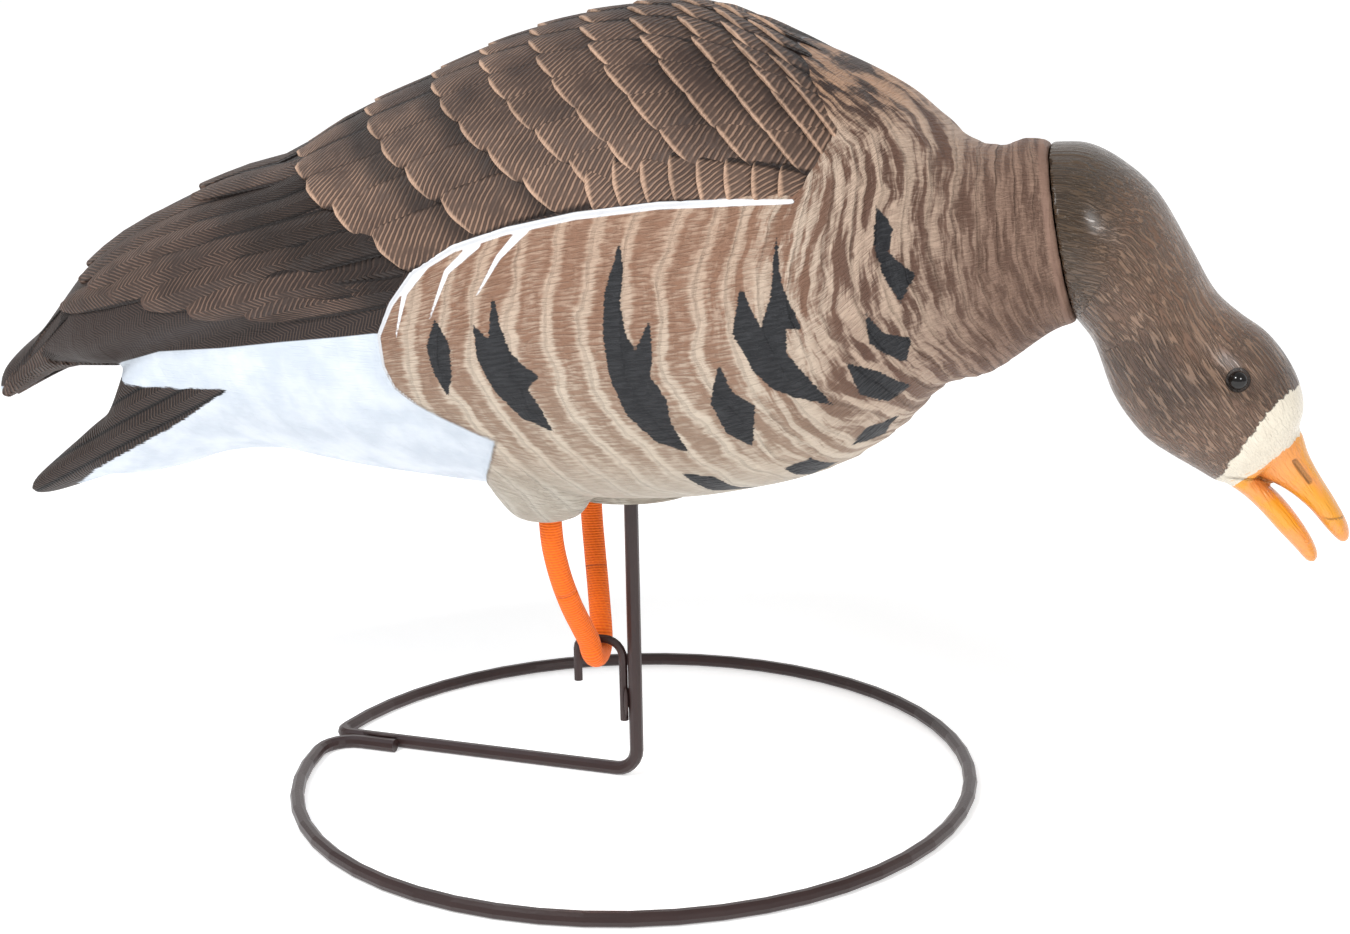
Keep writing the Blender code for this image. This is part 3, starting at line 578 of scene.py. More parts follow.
def relief(obj):
    """Lift the flank over the wing's lower edge, and raise the rows of feathers on it."""
    at, out = places(obj), normals(obj)
    x, z = at[:, 0], at[:, 2]
    flank = ease(-outline_distance(x, z, FLANK), -0.0035, 0.0005) * ease(np.abs(at[:, 1]), 0.02, 0.05)
    count, _ = flow(x, z)
    count = count + 0.35 * wander(at, 45, 1)
    tooth = count % 1
    row = np.where(tooth < 0.82, tooth / 0.82, (1 - tooth) / 0.18)
    loose = ease(x, -0.06, -0.02) * (1 - ease(x, 0.125, 0.16)) * ease(z, 0.135, 0.16)
    top = ease(x, 0.085, 0.12) * (1 - ease(x, 0.15, 0.185))
    rise = FLANK_RISE * flank * (1 - ease(x, 0.10, 0.15))
    rise += ROW_RISE * (row - 0.5) * np.maximum(loose * flank, top)
    move_to(obj, at + out * rise[:, None])


relief(skin)


# %% Finer faces where paint edges run
def refine(obj):
    at = places(obj)
    x, z = at[:, 0], at[:, 2]
    fine = (np.abs(white_distance(x, z)) < 0.0035) | (np.abs(bar_distance(x, z)) < 0.0022)
    fine |= np.abs(outline_distance(x, z, FLANK)) < 0.0022
    fine &= np.abs(at[:, 1]) > 0.01
    bm = bmesh.new()
    bm.from_mesh(obj.data)
    edges = [edge for edge in bm.edges if fine[edge.verts[0].index] or fine[edge.verts[1].index]]
    bmesh.ops.subdivide_edges(bm, edges=edges, cuts=1, use_grid_fill=True, smooth=0.0)
    bmesh.ops.triangulate(bm, faces=[face for face in bm.faces if len(face.verts) > 4])
    bm.to_mesh(obj.data)
    bm.free()
    obj.data.shade_smooth()
    print(obj.name, "refined to", len(obj.data.polygons), "faces")


refine(skin)


# %% [markdown]
# ## Opening the shell
# The belly is bored for the stake and the cord, the neck for the head's spigot, and the shell is hollow with
# a 3 mm wall. Boolean modifiers cut all of it, as the mould's cores would leave it.

# %% Cut the hollow, the collar and the holes
def rod_between(start, end, radius, sides=48):
    """A closed round bar between two points."""
    start, end = Vector(start), Vector(end)
    turn = (end - start).to_track_quat("Z", "Y").to_matrix()
    angle = [math.tau * i / sides for i in range(sides)]
    ring = [turn @ Vector((radius * math.cos(a), radius * math.sin(a), 0)) for a in angle]
    return skin_over(np.array([[start + p for p in ring], [end + p for p in ring]]))


def cut(obj, operation, skins):
    """Cut or join closed skins, one modifier for each."""
    tools = []
    for i, (points, faces) in enumerate(skins):
        tool = add_mesh(f"{obj.name}_tool_{i}", points, faces)
        bm = bmesh.new()
        bm.from_mesh(tool.data)
        bmesh.ops.recalc_face_normals(bm, faces=bm.faces)
        bm.to_mesh(tool.data)
        bm.free()
        modifier = obj.modifiers.new(tool.name, "BOOLEAN")
        modifier.object = tool
        modifier.operation = operation
        tools.append(tool)
    settle(obj)
    for tool in tools:
        bpy.data.objects.remove(tool)


def open_shell(obj):
    hollow = np.vstack([body_rows(BODY_ROWS[2:]), collar_row(COLLAR_RADIUS, -0.020)])
    bore = rod_between(
        COLLAR_CENTRE + COLLAR_AXIS * 0.006, COLLAR_CENTRE - COLLAR_AXIS * 0.026, COLLAR_RADIUS - WALL, 72
    )
    boss_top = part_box("motion_cone")[0].z - 0.0003
    foot = Vector((PIVOT.x, 0, 0))
    boss = rod_between(foot + Vector((0, 0, BELLY_Z + 0.002)), foot + Vector((0, 0, boss_top)), 0.0285)
    hole = rod_between(foot + Vector((0, 0, BELLY_Z - 0.02)), foot + Vector((0, 0, boss_top + 0.02)), 0.0181)
    cut(obj, "DIFFERENCE", [skin_over(ovals(hollow, 48, WALL)), bore])
    cut(obj, "UNION", [boss])
    cuts = [hole]
    for side in (1, -1):
        way = Vector((CORD_X, side * CORD_SPREAD, BELLY_Z))
        cuts.append(rod_between(way - Vector((0, 0, 0.03)), way + Vector((0, 0, 0.03)), 0.0054, 32))
    cut(obj, "DIFFERENCE", cuts)
    obj.data.shade_smooth()
    obj.data.set_sharp_from_angle(angle=math.radians(50))
    print(obj.name, "opened:", len(obj.data.polygons), "faces")


open_shell(skin)

# %% [markdown]
# ## Ground colours of the skin
# The painter sprays pale and dark ground tones that drift from cream at the belly to brown at the neck, and
# the streaks are the change from one to the other. Both tones are kept for each vertex.

# %% Pale and dark tones
CREAM, TAN, BEIGE = paint(204, 190, 173), paint(184, 158, 138), paint(190, 166, 147)
WALNUT, BROWN, UMBER, SOOT = paint(150, 128, 110), paint(138, 104, 84), paint(98, 72, 60), paint(62, 48, 43)
NECK_PALE, NECK_DARK, WHITE = paint(146, 119, 103), paint(98, 74, 62), paint(217, 224, 233)
BELLY_PALE, BELLY_DARK = paint(194, 187, 175), paint(158, 146, 132)


def tones(at):
    """The pale and the dark ground tone for each vertex."""
    x, z = at[:, 0], at[:, 2]

    def flat(colour):
        return np.tile(np.array(colour[:3]), (len(at), 1))

    high = ease(z, 0.175, 0.262)
    pale = blend_rows(flat(CREAM), flat(TAN), high * (1 - ease(x, 0.07, 0.12)))
    dark = blend_rows(flat(WALNUT), flat(BROWN), ease(z, 0.16, 0.23))
    breast = ease(x, 0.085, 0.125) * ease(z, 0.15, 0.21)
    pale = blend_rows(pale, flat(BEIGE), breast)
    dark = blend_rows(dark, flat(UMBER), breast)
    belly = 1 - ease(z, 0.140, 0.168)
    pale, dark = blend_rows(pale, flat(BELLY_PALE), belly), blend_rows(dark, flat(BELLY_DARK), belly)
    neck = ease(x, 0.132, 0.175)
    pale, dark = blend_rows(pale, flat(NECK_PALE), neck), blend_rows(dark, flat(NECK_DARK), neck)
    mantle = ease(z, 0.288, 0.31) * (1 - ease(x, 0.12, 0.17))
    pale, dark = blend_rows(pale, flat(paint(178, 142, 116)), mantle), blend_rows(dark, flat(SOOT), mantle)
    return pale, dark


def paint_skin(obj):
    at = places(obj)
    x, y, z = at.T
    pale, dark = tones(at)
    side = ease(np.abs(y), 0.004, 0.012)
    petal = outline_distance(x, z, TAIL_PETAL)
    above, _ = line_distance(x, z, RUMP_TOP)
    line_z = np.interp(x, *(np.array(RUMP_TOP).T / 1000))
    wing = np.where(z > line_z, -above, above)
    count, down = flow(x, z)
    store(obj, "pale", pale)
    store(obj, "dark", dark)
    store(obj, "rows", np.column_stack([count, down, side]))
    marks = [bar_distance(x, z) + 0.02 * (1 - side), white_distance(x, z), outline_distance(x, z, FLANK)]
    store(obj, "marks", np.column_stack(marks))
    store(obj, "tail_marks", np.column_stack([petal, wing, np.zeros(len(x))]))


paint_skin(skin)

# %% [markdown]
# ## Skin paint
# The streaks follow the row count: pale at the edge of each row, dark down its middle, broken up by noise,
# with fine barbs across. Over them go rump white, the bars, whose edges fray along the barbs, and the white
# line.


# %% Skin material
LIP_START = COLLAR_CENTRE.dot(COLLAR_AXIS) - 0.0042


def skin_material():
    material, g, shader = new_material("painted_skin")
    where = g.place()
    rows = g.parts(g.attribute("rows")["Vector"])
    marks = g.parts(g.attribute("marks")["Vector"])
    tail = g.parts(g.attribute("tail_marks")["Vector"])
    front = g.smooth(g.parts(where)[0], 0.055, 0.105)
    neck = g.smooth(g.parts(where)[0], 0.125, 0.170)
    drift = g.noise(where, 32.0, 3.0)
    ragged = g.noise(where, 240.0, 3.0)
    count = g.math("ADD", rows[0], g.line(drift, 1.1, -0.55))
    tooth = g.math("FRACT", count)
    tent = g.math("ABSOLUTE", g.line(tooth, 2.0, -1.0))
    pale_line = g.smooth(g.line(ragged, 0.35, tent), 0.62, 1.08)
    groove = g.smooth(g.line(ragged, 0.05, tooth), 0.90, 1.0)
    strand_place = g.vector(g.times(count, 2.6), g.times(rows[1], 5.0))
    strands = g.noise(strand_place, 1.0, 4.0, 0.55)
    barbs = g.noise(g.vector(g.times(count, 2.2), g.times(rows[1], 120.0)), 1.0, 2.0)
    barb_line = g.smooth(barbs, 0.36, 0.66)
    flank = g.line(g.smooth(strands, 0.3, 0.7), 0.36, 0.62)
    flank = g.line(pale_line, -0.75, flank)
    breast = g.line(g.smooth(tent, 0.9, 0.2), 0.30, g.smooth(strands, 0.42, 0.60, 0.0, 0.8))
    share = g.times(front, g.math("SUBTRACT", breast, flank))
    share = g.math("ADD", flank, share)
    strength = g.line(front, -0.22, 0.42)
    share = g.math("ADD", share, g.times(g.math("SUBTRACT", barb_line, 0.5), strength))
    share = g.line(neck, g.line(share, -0.35, 0.2), share)
    belly = g.smooth(g.parts(where)[2], 0.176, 0.152)
    share = g.line(belly, g.line(share, -0.6, 0.2), share)
    colour = g.mix(g.smooth(share, 0.0, 1.0), g.attribute("pale")["Vector"], g.attribute("dark")["Vector"])
    # Painted shade: the groove at the end of each row is darkened, as shade would fall in it.
    colour = g.mix(g.times(groove, 0.18), colour, paint(84, 66, 56))
    shift = g.times(front, 0.004)
    past_flank = g.math("SUBTRACT", g.line(ragged, 0.0016, marks[2]), shift)
    white_zone = g.smooth(past_flank, 0.0004, 0.0018)
    soft = g.mix(g.smooth(g.noise(where, 60.0, 3.0), 0.3, 0.7), WHITE, paint(198, 207, 218))
    colour = g.mix(white_zone, colour, soft)
    fray = g.line(barbs, 0.0022, g.line(ragged, 0.0012, -0.0017))
    bars = g.smooth(g.math("ADD", marks[0], fray), 0.0003, -0.0003)
    colour = g.mix(bars, colour, g.mix(barb_line, paint(34, 35, 38), paint(48, 49, 52)))
    petal = g.times(g.smooth(g.math("ADD", tail[0], fray), 0.0004, -0.0004), white_zone)
    spot = g.parts(where)
    across = g.line(spot[0], -0.43, g.times(spot[2], 0.90))
    along = g.line(spot[0], 0.90, g.times(spot[2], 0.43))
    blade = g.math("PINGPONG", g.math("ADD", across, 1.0), 0.0045)
    quill = g.line(ragged, 0.0012, g.math("ADD", along, blade))
    quill_barbs = g.math("SINE", g.times(quill, math.tau / 0.0019))
    blade_colour = g.mix(g.smooth(quill_barbs, 0.0, 1.2), paint(44, 37, 35), paint(88, 72, 64))
    # Painted shade: a near-black line along the edges between the painted tail blades.
    blade_colour = g.mix(g.smooth(blade, 0.0012, 0.0002), blade_colour, paint(26, 23, 23))
    colour = g.mix(petal, colour, blade_colour)
    wing = g.times(g.smooth(tail[1], 0.0003, -0.0003), white_zone)
    strip = g.mix(g.smooth(quill_barbs, 0.0, 1.4), paint(38, 31, 30), paint(82, 66, 58))
    colour = g.mix(wing, colour, strip)
    white_line = g.smooth(marks[1], 0.0003, -0.0003)
    colour = g.mix(white_line, colour, paint(240, 243, 248))
    edge_shade = g.smooth(g.math("ABSOLUTE", marks[2]), 0.0016, 0.0002, 0.0, 0.35)
    edge_shade = g.times(edge_shade, g.math("SUBTRACT", 1.0, front))
    colour = g.mix(edge_shade, colour, paint(70, 56, 50))
    reach = g.line(spot[2], COLLAR_AXIS.z, g.times(spot[0], COLLAR_AXIS.x))
    lip = g.smooth(reach, LIP_START, LIP_START + 0.0012)
    colour = g.mix(g.times(lip, 0.7), colour, paint(136, 108, 94))
    height = g.line(barb_line, 0.35, g.times(tent, 0.5))
    height = g.line(groove, -0.5, height)
    height = g.line(strands, -1.3, height)
    height = g.line(ragged, 0.5, height)
    quiet = g.math("MAXIMUM", g.math("MAXIMUM", white_zone, lip), white_line)
    height = g.times(height, g.line(quiet, -0.8, 1.0))
    height = g.line(g.times(petal, quill_barbs), 0.3, height)
    wire_up(g, shader, Base_Color=colour, Roughness=0.55, Normal=g.bump(height, 0.0014, 1.0))
    shader.inputs["Specular IOR Level"].default_value = 0.25
    return material


skin.data.materials.append(skin_material())
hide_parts("body_shell")
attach(skin, "decoy")

# %% [markdown]
# ## Feathers
# The large feathers of back and wings are moulded as overlapping tiles. One feather is modelled once, as a
# closed leaf of a few dozen faces. Points on the skin say where each tip lies, which way its shaft runs and
# how big it is, and Geometry Nodes puts a leaf on every point, lays it on the skin and lifts it by its rise.

# %% One feather leaf
LEAF_U = (-1, -0.72, -0.36, 0, 0.36, 0.72, 1)
LEAF_V = (0, 0.025, 0.07, 0.14, 0.24, 0.42, 0.68, 1)


def leaf_half_width(v, round_off):
    """A rounded tip over this share of the length, then sides that draw in a little."""
    tip = (1 - (1 - min(v / round_off, 1)) ** 2.4) ** (1 / 2.4)
    return max(tip, 0.25) * (1 - 0.10 * v)


def make_leaf(name, round_off):
    """A leaf with its tip at the origin and its shaft along +Y, with what the paint and the relief need."""
    points, vane, rise, faces = [], [], [], []
    across, along = len(LEAF_U), len(LEAF_V)
    for top in (True, False):
        for v in LEAF_V:
            for u in LEAF_U:
                points.append((u * leaf_half_width(v, round_off), v, 0))
                vane.append((u * leaf_half_width(v, round_off), v, 0))
                crown = (1 - 0.40 * u * u) * (1 - v) ** 0.75
                rise.append(crown if top else -0.35)
    size = across * along
    for layer in (0, size):
        for r in range(along - 1):
            for c in range(across - 1):
                a = layer + r * across + c
                quad = (a, a + 1, a + across + 1, a + across)
                faces.append(quad if layer == 0 else quad[::-1])
    rim = list(range(across)) + [r * across + across - 1 for r in range(1, along)]
    rim += [size - 2 - c for c in range(across - 1)] + [r * across for r in range(along - 2, 0, -1)]
    for a, b in zip(rim, rim[1:] + rim[:1]):
        faces.append((b, a, a + size, b + size))
    leaf = add_mesh(name, points, faces)
    store(leaf, "vane", vane)
    store(leaf, "rise", rise)
    leaf.hide_render = True
    return leaf


tile_leaf, quill_leaf = make_leaf("tile_leaf", 0.16), make_leaf("quill_leaf", 0.45)
print("one leaf:", len(tile_leaf.data.polygons), "faces")


# %% Geometry Nodes: a leaf on every point
def feather_tree():
    tree = bpy.data.node_groups.new("lay_feathers", "GeometryNodeTree")
    interface = tree.interface
    interface.new_socket("Geometry", in_out="INPUT", socket_type="NodeSocketGeometry")
    for name, kind in (("Leaf", "Object"), ("Skin", "Object"), ("Material", "Material"), ("Seed", "Int")):
        interface.new_socket(name, in_out="INPUT", socket_type=f"NodeSocket{kind}")
    interface.new_socket("Geometry", in_out="OUTPUT", socket_type="NodeSocketGeometry")
    g = Graph(tree)
    given = g.put("NodeGroupInput").outputs

    def read(name, kind="FLOAT_VECTOR"):
        return g.put("GeometryNodeInputNamedAttribute", {0: name}, data_type=kind).outputs[0]

    turn = g.put(
        "FunctionNodeAxesToRotation", {0: read("out"), 1: read("shaft")}, primary_axis="Z", secondary_axis="Y"
    )
    leaf_in = g.put("GeometryNodeObjectInfo", {0: given["Leaf"]}).outputs["Geometry"]
    lay = {"Points": given["Geometry"], "Instance": leaf_in, "Rotation": turn.outputs[0]}
    laid = g.put("GeometryNodeInstanceOnPoints", {**lay, "Scale": read("size")}).outputs[0]
    chance = g.put(
        "FunctionNodeRandomValue", {2: -1.0, 3: 1.0, "Seed": given["Seed"]}, data_type="FLOAT"
    ).outputs[1]
    keep = {0: laid, 2: "chance", 3: chance}
    toned = g.put("GeometryNodeStoreNamedAttribute", keep, data_type="FLOAT", domain="INSTANCE").outputs[0]
    plain = g.put("GeometryNodeRealizeInstances", {0: toned}).outputs[0]
    skin_in = g.put("GeometryNodeObjectInfo", {0: given["Skin"]}).outputs["Geometry"]
    nearest = g.put("GeometryNodeProximity", {0: skin_in}, target_element="FACES").outputs[0]
    out = g.put(
        "GeometryNodeSampleNearestSurface",
        {"Mesh": skin_in, "Value": g.put("GeometryNodeInputNormal").outputs[0]},
        data_type="FLOAT_VECTOR",
    ).outputs[0]
    from_shaft = g.times(g.parts(read("vane"))[0], g.parts(read("size"))[0])
    skew = g.times(read("skew", "FLOAT"), from_shaft)
    slip = g.put("ShaderNodeVectorMath", {0: read("shaft"), "Scale": skew}, operation="SCALE").outputs[0]
    plain = g.put("GeometryNodeSetPosition", {"Geometry": plain, "Offset": slip}).outputs[0]
    lift = g.times(read("rise", "FLOAT"), g.parts(read("size"))[2])
    raised = g.put("ShaderNodeVectorMath", {0: out, "Scale": lift}, operation="SCALE").outputs[0]
    place = g.put("ShaderNodeVectorMath", {0: nearest, 1: raised}, operation="ADD").outputs[0]
    moved = g.put("GeometryNodeSetPosition", {"Geometry": plain, "Position": place}).outputs[0]
    finished = g.put("GeometryNodeSetMaterial", {"Geometry": moved, "Material": given["Material"]}).outputs[0]
    g.put("NodeGroupOutput", {0: finished})
    return tree


FEATHER_TREE = feather_tree()


# %% Lay a set of feathers on the body
def on_skin(x, y, z):
    """The nearest place on the smooth skin, and its outward direction."""
    place, out, _, _ = core_tree.find_nearest(Vector((x, y, z)))
    return place, out


def lay_feathers(name, feathers, leaf, material, seed):
    """Feathers are (tip, root, half width, rise, skew) on the right side. The left side mirrors them."""
    points, outs, shafts, sizes, skews = [], [], [], [], []
    for tip, root, half_width, rise, skew in feathers:
        for side in (1, -1):
            mirror = Vector((1, side, 1))
            place, out = on_skin(*(Vector(tip) * mirror))
            shaft = Vector(root) * mirror - place
            points.append(place)
            outs.append(out)
            shafts.append(shaft.normalized())
            sizes.append((half_width, shaft.length, rise))
            skews.append(skew * side)
    obj = add_mesh(name, points, [])
    store(obj, "out", outs)
    store(obj, "shaft", shafts)
    store(obj, "size", sizes)
    store(obj, "skew", skews)
    modifier = obj.modifiers.new("Feathers", "NODES")
    modifier.node_group = FEATHER_TREE
    values = {"Leaf": leaf, "Skin": core, "Material": material, "Seed": seed}
    for item in FEATHER_TREE.interface.items_tree:
        if item.in_out == "INPUT" and item.name in values:
            modifier[item.identifier] = values[item.name]
    settle(obj)
    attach(obj, "decoy")
    print(name, len(points), "feathers,", len(obj.data.polygons), "faces")
    return obj


# %% [markdown]
# ## Feather paint
# Each feather is dark with a thin pale tip and fine slanting pale barbs, with painted shade on its sides and
# on its root, where the next row lies over it. The leaf carries its own across and along coordinates, so the
# barbs keep their slant however the feather lies.

# %% Feather material
def feather_material(name, middle, barb_pale, tip_pale, one_way):
    material, g, shader = new_material(name)
    where = g.place()
    spot = g.parts(where)
    vane = g.parts(g.attribute("vane")["Vector"])
    size = g.parts(g.attribute("size")["Vector"])
    chance = g.attribute("chance")["Fac"]
    signed = g.times(g.times(vane[0], size[0]), g.math("SIGN", spot[1]))
    across = g.math("ABSOLUTE", signed)
    along = g.times(vane[1], size[1])
    speckle = g.noise(where, 300.0, 3.0)
    reach = signed if one_way else across
    slant = g.line(along, -0.60, g.times(reach, 0.80))
    slant = g.line(g.noise(where, 90.0, 3.0), 0.0018, slant)
    barbs = g.math("SINE", g.times(slant, math.tau / 0.0017))
    barbs = g.times(barbs, g.smooth(g.noise(where, 170.0, 2.0), 0.30, 0.60, 0.35, 1.0))
    cloud = g.smooth(g.noise(where, 30.0, 3.0), 0.36, 0.64)
    low = g.smooth(spot[2], 0.330, 0.262)
    near_tip = g.smooth(along, 0.014, 0.003)
    light = g.line(cloud, 0.4, g.times(low, 0.45))
    light = g.line(near_tip, 0.3, light)
    line = g.times(g.smooth(barbs, 0.0, 1.0), g.math("ADD", light, 0.10))
    colour = g.mix(g.times(light, 0.22), middle, barb_pale)
    colour = g.mix(g.math("MINIMUM", line, 0.85), colour, barb_pale)
    # Painted shade: the sides of each feather are darkened, as shade falls in the grooves between neighbours.
    side = g.smooth(g.line(speckle, 0.12, g.math("ABSOLUTE", vane[0])), 0.74, 0.90)
    colour = g.mix(g.times(side, 0.9), colour, paint(26, 20, 19))
    rim = g.smooth(g.line(speckle, 0.0018, along), 0.0034, 0.0016)
    colour = g.mix(g.times(rim, g.line(cloud, 0.35, 0.6)), colour, tip_pale)
    # Painted shade: the root half of each feather, under the next row's tips, is darkened.
    shade_under_next_row = g.smooth(vane[1], 0.38, 0.62)
    colour = g.mix(g.times(shade_under_next_row, 0.75), colour, paint(26, 21, 20))
    tone = g.line(chance, 0.10, 1.0)
    colour = g.mix(1.0, colour, g.vector(tone, tone, tone), "MULTIPLY")
    height = g.line(side, -1.4, g.times(barbs, 0.5))
    height = g.line(rim, 0.8, height)
    wire_up(g, shader, Base_Color=colour, Roughness=0.55, Normal=g.bump(height, 0.0006, 1.0))
    shader.inputs["Specular IOR Level"].default_value = 0.25
    return material


BACK_TONES = paint(52, 40, 36), paint(156, 126, 107), paint(196, 162, 138)
QUILL_TONES = paint(42, 34, 32), paint(122, 98, 85), paint(84, 66, 58)
back_paint = feather_material("back_feather_paint", *BACK_TONES, True)
quill_paint = feather_material("quill_paint", *QUILL_TONES, False)

# %% [markdown]
# ## Rows on the back
# Tips lie in ten sweeping rows. Each row leaves the ridge of the back and runs down and forward to the wing's
# lower edge. The rows are laid from the tail forward, each over the roots of the one behind.

# %% Lay the back feathers
# Each row in millimetres: where it starts on the ridge, where it ends along and up, spacing, feather length.
ROW_LINES = [
    (-132, -54, 244, 23, 56, 0.32),
    (-100, -24, 258, 23, 54, 0.32),
    (-69, 9, 267, 22, 52, 0.32),
    (-47, 27, 273, 21.5, 48, 0.30),
    (-25, 40, 280, 20.5, 46, 0.28),
    (-3, 59, 284, 19.5, 42, 0.22),
    (18, 79, 285, 18.5, 38, 0.14),
    (37, 97, 283, 18, 34, 0.04),
    (54, 107, 286, 17, 28, -0.08),
    (69, 112, 290, 16, 20, -0.20),
]


def row_tips(top_x, low_x, low_z, spacing):
    """Tips along the row's slanting plane, from the ridge down, evenly spaced over the skin."""
    ridge = core_tree.ray_cast(Vector((top_x, 0, 0.5)), Vector((0, 0, -1)))[0]
    foot = Vector((low_x, 0, low_z))
    upward = (ridge - foot).normalized()
    trail, angles = [], []
    for step in range(181):
        angle = math.radians(90 - 0.5 * step)
        way = Vector((0, -math.cos(angle), 0)) + upward * math.sin(angle)
        place = core_tree.ray_cast(foot + way * 0.3, -way)[0]
        if place is not None:
            trail.append(place)
            angles.append(angle)
    run = np.concatenate([[0], np.cumsum([(b - a).length for a, b in zip(trail, trail[1:])])])
    count = round(run[-1] / spacing)
    stops = (np.arange(count) + 0.5) * run[-1] / count
    nearest = [int(np.argmin(np.abs(run - stop))) for stop in stops]
    return [(trail[i], angles[i]) for i in nearest]


back_feathers = []
for top_x, low_x, low_z, spacing, length, slope in ROW_LINES:
    for tip, angle in row_tips(top_x / 1000, low_x / 1000, low_z / 1000, spacing / 1000):
        forward = length / 1000
        root = on_skin(tip.x + forward, tip.y, tip.z + slope * math.cos(angle) * forward)[0]
        rise = 0.0034 if top_x == ROW_LINES[0][0] else 0.0025
        back_feathers.append((tip, root, spacing * 0.00058, rise, 0.55 + 1.3 * (0.32 - slope)))
lay_feathers("back_feathers", back_feathers, tile_leaf, back_paint, 11)

# %% [markdown]
# ## Flight feathers
# Behind the last row the long quills run back to the crossed wing tips, each a little narrower than the one
# above it. Two broad ones cover their roots at the top.

# %% Lay the quills
QUILL_TIPS = [
    (-0.236, -0.028, 0.234), (-0.234, -0.040, 0.229), (-0.222, -0.050, 0.227), (-0.204, -0.060, 0.225),
    (-0.182, -0.068, 0.223), (-0.157, -0.076, 0.222), (-0.130, -0.081, 0.220),
]
QUILL_ROOT_TOP, QUILL_ROOT_LOW = Vector((-0.068, -0.050, 0.288)), Vector((-0.028, -0.092, 0.244))
WING_TIPS = [
    ((-0.240, -0.034, 0.213), (-0.065, -0.092, 0.222), 0.0085),
    ((-0.304, -0.003, 0.170), (-0.200, -0.050, 0.216), 0.0115),
    ((-0.300, -0.008, 0.166), (-0.190, -0.058, 0.204), 0.0095),
]
quills = [(tip, root, half_width, 0.0022, 0) for tip, root, half_width in reversed(WING_TIPS)]
for i in reversed(range(len(QUILL_TIPS))):
    root = QUILL_ROOT_TOP.lerp(QUILL_ROOT_LOW, i / (len(QUILL_TIPS) - 1))
    quills.append((QUILL_TIPS[i], root, 0.0112 - 0.0003 * i, 0.0023, 0.3))
quills.append(((-0.182, -0.014, 0.262), (-0.075, -0.030, 0.292), 0.0135, 0.0026, 0.3))
quills.append(((-0.172, -0.034, 0.256), (-0.062, -0.056, 0.283), 0.0125, 0.0026, 0.3))
lay_feathers("flight_feathers", quills, quill_leaf, quill_paint, 5)

# %% [markdown]
# ## Coverts
# A row of short scalloped feathers lies above the white line at the shoulder.

# %% Lay the coverts
coverts = []
for step in range(8):
    x = 0.022 + 0.0105 * step
    tip = on_skin(x, -0.09, np.interp(x, [0.02, 0.05, 0.10], [0.2735, 0.2785, 0.2765]))[0]
    root = on_skin(x + 0.022, -0.09, tip.z + 0.002)[0]
    coverts.append((tip, root, 0.0104, 0.0031, 0.15))
lay_feathers("coverts", coverts, tile_leaf, back_paint, 3)

# %% [markdown]
# ## Head
# Neck, head and the open bill are one moulding. The form is lofted and welded as the body's is, at a finer
# step because the bill's edges are thin.

# %% Head outlines
HEAD_REACH, HEAD_DROP, HEAD_WIDTH = 0.115, 0.132, 0.072
HEAD_ROWS = [
    (7.2, 26.4, 11.5, -33.0, 100.6),
    (19.3, 21.2, 14.6, -39.8, 95.8),
    (31.5, 11.7, 16.3, -44.3, 88.9),
    (42.8, -4.2, 18.9, -49.6, 81.9),
    (51.5, -17.0, 23.7, -56.1, 76.4),
    (60.2, -23.9, 30.7, -62.9, 72.2),
    (68.9, -29.2, 39.3, -67.8, 69.4),
    (76.3, -36.7, 48.0, -72.0, 65.3),
    (81.1, -44.7, 55.0, -75.4, 58.3),
    (82.8, -51.9, 59.8, -76.1, 48.6),
    (81.5, -58.7, 63.7, -76.9, 37.5),
]
UPPER_BILL_ROWS = [
    (74.1, -49.6, 56.7, -67.0, 41.7),
    (82.0, -58.7, 65.4, -71.2, 36.1),
    (85.4, -66.3, 70.7, -73.9, 31.9),
    (89.8, -73.1, 78.5, -77.3, 27.2),
    (94.6, -79.5, 86.3, -82.6, 23.9),
    (98.9, -86.0, 92.4, -88.6, 21.1),
    (100.4, -90.2, 95.9, -91.7, 16.1),
    (99.8, -92.4, 98.0, -93.0, 6.9),
]
LOWER_BILL_ROWS = [
    (58.5, -64.8, 48.9, -71.6, 40.3),
    (63.7, -70.8, 56.7, -75.0, 34.7),
    (70.7, -75.0, 64.1, -79.2, 30.0),
    (77.2, -79.9, 70.7, -84.5, 25.6),
    (82.8, -85.6, 76.7, -90.2, 22.2),
    (87.6, -91.7, 82.4, -95.2, 19.4),
    (90.2, -96.6, 86.3, -98.9, 15.0),
    (90.0, -99.0, 88.7, -99.8, 6.7),
]


def head_rows(rows):
    share = np.array(rows) / 100
    x = COLLAR_CENTRE.x + HEAD_REACH * share[:, [0, 2]]
    z = COLLAR_CENTRE.z + HEAD_DROP * share[:, [1, 3]]
    half = HEAD_WIDTH / 2 * share[:, 4]
    return np.column_stack([x[:, 0], z[:, 0], x[:, 1], z[:, 1], half, np.full(len(share), 0.5)])


# %% Weld the head
HEAD_STEP = 0.0011
neck_outline = np.vstack([collar_row(COLLAR_RADIUS - 0.0012, 0.0003), head_rows(HEAD_ROWS)])
head = weld(
    join_skins(
        "head_skin",
        [
            skin_over(ovals(smooth_rows(neck_outline, 6), 72)),
            skin_over(ovals(smooth_rows(head_rows(UPPER_BILL_ROWS), 5), 40)),
            skin_over(ovals(smooth_rows(head_rows(LOWER_BILL_ROWS), 5), 40)),
        ],
    ),
    HEAD_STEP,
    3,
)


